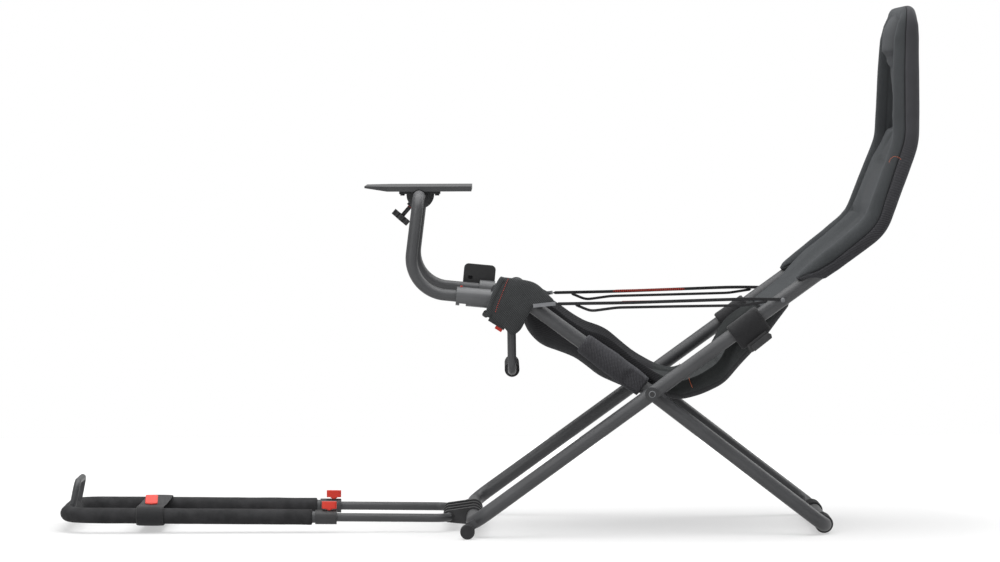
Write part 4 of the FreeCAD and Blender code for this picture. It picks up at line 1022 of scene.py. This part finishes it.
boltShape = {"rim": 0.0064, "well": 0.0050, "proud": 0.0005}
clampShape = {"lean": 229.0, "reach": 0.0300, "radius": 0.0052, "thick": 0.0012}
stitchShape = {
    "pocket": [(0.7400, 0.6960), (0.7425, 0.7030), (0.7480, 0.7065), (0.7550, 0.7060), (0.7610, 0.7010)],
    "pocketSide": 0.2568, "pocketGap": 0.0032, "bagGap": 0.0030, "flapGap": 0.0036,
    "bag": [(0.3695, 0.2322, 0.2945), (0.3712, 0.2328, 0.2885), (0.3755, 0.2328, 0.2775)],
}
rivetShape = {"radius": 0.0042, "proud": 0.0018, "back": 0.002}
socketShadeShape = {"slope": 5.5, "ahead": 0.0172, "shift": (0.0003, 0.0016, 0.0030),
               "radius": 0.0042, "proud": 0.0004}

for side, sideways in sides:
    away = (0, sideways, 0)
    edge = flapPlace(flapShape["stitch"], sideways, flapShape["stitchOut"])
    seam = stitchRun("flapStitch_" + side, edge, away, stitchShape["flapGap"])
    finishPiece(seam, "leg_frame", redThread)
    front, rear = strapEnds(sideways)
    spot = rear - mainWay * rivetShape["back"] + [0, sideways * rivetShape["proud"], 0]
    rivet = meshPiece("strapRivet_" + side, domeRings(spot, away, rivetShape["radius"], rivetShape["proud"]))
    finishPiece(rivet, "frame", greyPlastic)
    # a pale grey ring on the pivot bolt's head, painted highlight, and a black disc inside it, painted shade in
    # the bolt's socket
    face = pivot * [1, 0, 1] + [0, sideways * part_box("pivot_bolts")[1][1], 0]
    proud = boltShape["proud"]
    rim = meshPiece("boltRim_" + side, domeRings(face, away, boltShape["rim"], proud))
    finishPiece(rim, "frame", greyPlastic)
    inner = domeRings(face + [0, sideways * proud, 0], away, boltShape["well"], proud * 0.6)
    finishPiece(meshPiece("boltWell_" + side, inner), "frame", blackPlastic)
    # a bar of thread on the cloth bag's wall, and one at the mouth of the roll's pocket
    bar = stitchRun("bagStitch_" + side, np.array(stitchShape["bag"]) * [1, sideways, 1], away,
                    stitchShape["bagGap"])
    finishPiece(bar, "frame", orangeThread)
    mouth = [(x, sideways * stitchShape["pocketSide"], z) for x, z in stitchShape["pocket"]]
    tack = stitchRun("pocketTack_" + side, mouth, away, stitchShape["pocketGap"])
    finishPiece(tack, "frame", orangeThread)
low, high = np.array(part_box("shifter_plate")[0]), np.array(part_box("shifter_plate")[1])
shiftX, shiftY, shiftZ = socketShadeShape["shift"]
armWay = slopeWay(180.0 - socketShadeShape["slope"])
hole = (low + high) * [0.5, 0.0, 0.5] + armWay * socketShadeShape["ahead"] + [shiftX, low[1] + shiftY, shiftZ]
clampWay = slopeWay(clampShape["lean"])
ringPlace = jointAt["plate_tilt"] * [1, 0, 1] + clampWay * clampShape["reach"]
clampRing = meshPiece("clampRing", domeRings(ringPlace, clampWay, clampShape["radius"], clampShape["thick"]))
finishPiece(clampRing, "knob", redPlastic)
# a thin near-black disc on the shifter plate's near face: painted shade in the plate's recess
socketShade = meshPiece("shifterSocket",
                   domeRings(hole, (0, -1.0, 0), socketShadeShape["radius"], socketShadeShape["proud"]))
finishPiece(socketShade, "carrier", hemCloth)
print("small parts made")


studio = {"floorColour": 0.42, "floorGlow": 0.47, "floorHalf": 2.3, "worldLight": 0.50, "keyPower": 108.0,
          "frontPower": 34.0, "rimPower": 26.0, "farGlow": 0.95, "glowStart": 0.9, "glowEnd": 2.0}
view = {"lens": 168.3, "place": (0.020, -8.910, 0.822), "down": 2.278, "roll": 0.2}


def addFloor():
    size = studio["floorHalf"]
    mesh = bpy.data.meshes.new("floor")
    corners = [(-1, -1), (1, -1), (1, 1), (-1, 1)]
    mesh.from_pydata([(x * size, y * size, -0.0005) for x, y in corners], [], [(0, 1, 2, 3)])
    floor = bpy.data.objects.new("floor", mesh)
    bpy.context.scene.collection.objects.link(floor)
    material, nodes, links, shader = startMaterial("floorPaper", [studio["floorColour"]] * 3, 0.9, 0.0, 0.2)
    rays = nodes.new("ShaderNodeLightPath")
    seen = node(nodes, "ShaderNodeMath", operation="MAXIMUM")
    links.new(rays.outputs["Is Camera Ray"], seen.inputs[0])
    links.new(rays.outputs["Is Glossy Ray"], seen.inputs[1])
    glow = node(nodes, "ShaderNodeEmission")
    glow.inputs["Color"].default_value = (1, 1, 1, 1)
    power = node(nodes, "ShaderNodeMath", operation="MULTIPLY")
    place = nodes.new("ShaderNodeTexCoord").outputs["Object"]
    reach = node(nodes, "ShaderNodeVectorMath", operation="LENGTH")
    links.new(place, reach.inputs[0])
    rise = node(nodes, "ShaderNodeMapRange")
    rise.inputs["From Min"].default_value = studio["glowStart"]
    rise.inputs["From Max"].default_value = studio["glowEnd"]
    rise.inputs["To Min"].default_value = studio["floorGlow"]
    rise.inputs["To Max"].default_value = studio["farGlow"]
    links.new(reach.outputs["Value"], rise.inputs["Value"])
    links.new(rise.outputs["Result"], power.inputs[1])
    links.new(seen.outputs[0], power.inputs[0])
    links.new(power.outputs[0], glow.inputs["Strength"])
    both = nodes.new("ShaderNodeAddShader")
    links.new(shader.outputs["BSDF"], both.inputs[0])
    links.new(glow.outputs["Emission"], both.inputs[1])
    links.new(both.outputs["Shader"], nodes["Material Output"].inputs["Surface"])
    floor.data.materials.append(material)


def addWorld():
    world = bpy.data.worlds.new("studioRoom")
    bpy.context.scene.world = world
    world.use_nodes = True
    nodes, links = world.node_tree.nodes, world.node_tree.links
    background = nodes["Background"]
    rays = nodes.new("ShaderNodeLightPath")
    seen = node(nodes, "ShaderNodeMath", operation="MAXIMUM")
    links.new(rays.outputs["Is Camera Ray"], seen.inputs[0])
    links.new(rays.outputs["Is Transmission Ray"], seen.inputs[1])
    level = node(nodes, "ShaderNodeMapRange")
    level.inputs["To Min"].default_value = studio["worldLight"]
    level.inputs["To Max"].default_value = 1.0
    links.new(seen.outputs[0], level.inputs["Value"])
    links.new(level.outputs["Result"], background.inputs["Strength"])
    background.inputs["Color"].default_value = (1, 1, 1, 1)


def addLamp(name, power, place, aim, size):
    lamp = bpy.data.lights.new(name, "AREA")
    lamp.shape = "RECTANGLE"
    lamp.size, lamp.size_y = size
    lamp.energy = power
    holder = bpy.data.objects.new(name, lamp)
    bpy.context.scene.collection.objects.link(holder)
    holder.location = place
    holder.rotation_euler = (Vector(aim) - Vector(place)).to_track_quat("-Z", "Y").to_euler()


def addCamera():
    camera = bpy.data.cameras.new("sideView")
    camera.lens = view["lens"]
    camera.sensor_width = 36.0
    holder = bpy.data.objects.new("sideView", camera)
    bpy.context.scene.collection.objects.link(holder)
    holder.location = view["place"]
    holder.rotation_euler = (radians(90.0 - view["down"]), radians(view["roll"]), 0.0)
    bpy.context.scene.camera = holder


addFloor()
addWorld()
addLamp("overhead", studio["keyPower"], (0.0, -0.2, 2.7), (0.0, 0.0, 0.3), (3.6, 3.4))
addLamp("frontSoft", studio["frontPower"], (-1.8, -3.4, 1.7), (0.1, 0.0, 0.45), (2.2, 1.8))
addLamp("rearSoft", studio["rimPower"], (2.6, 1.8, 1.9), (0.2, 0.0, 0.5), (1.8, 1.8))
addCamera()
bpy.context.scene.view_settings.view_transform = "Standard"
print("floor, lights and camera set")
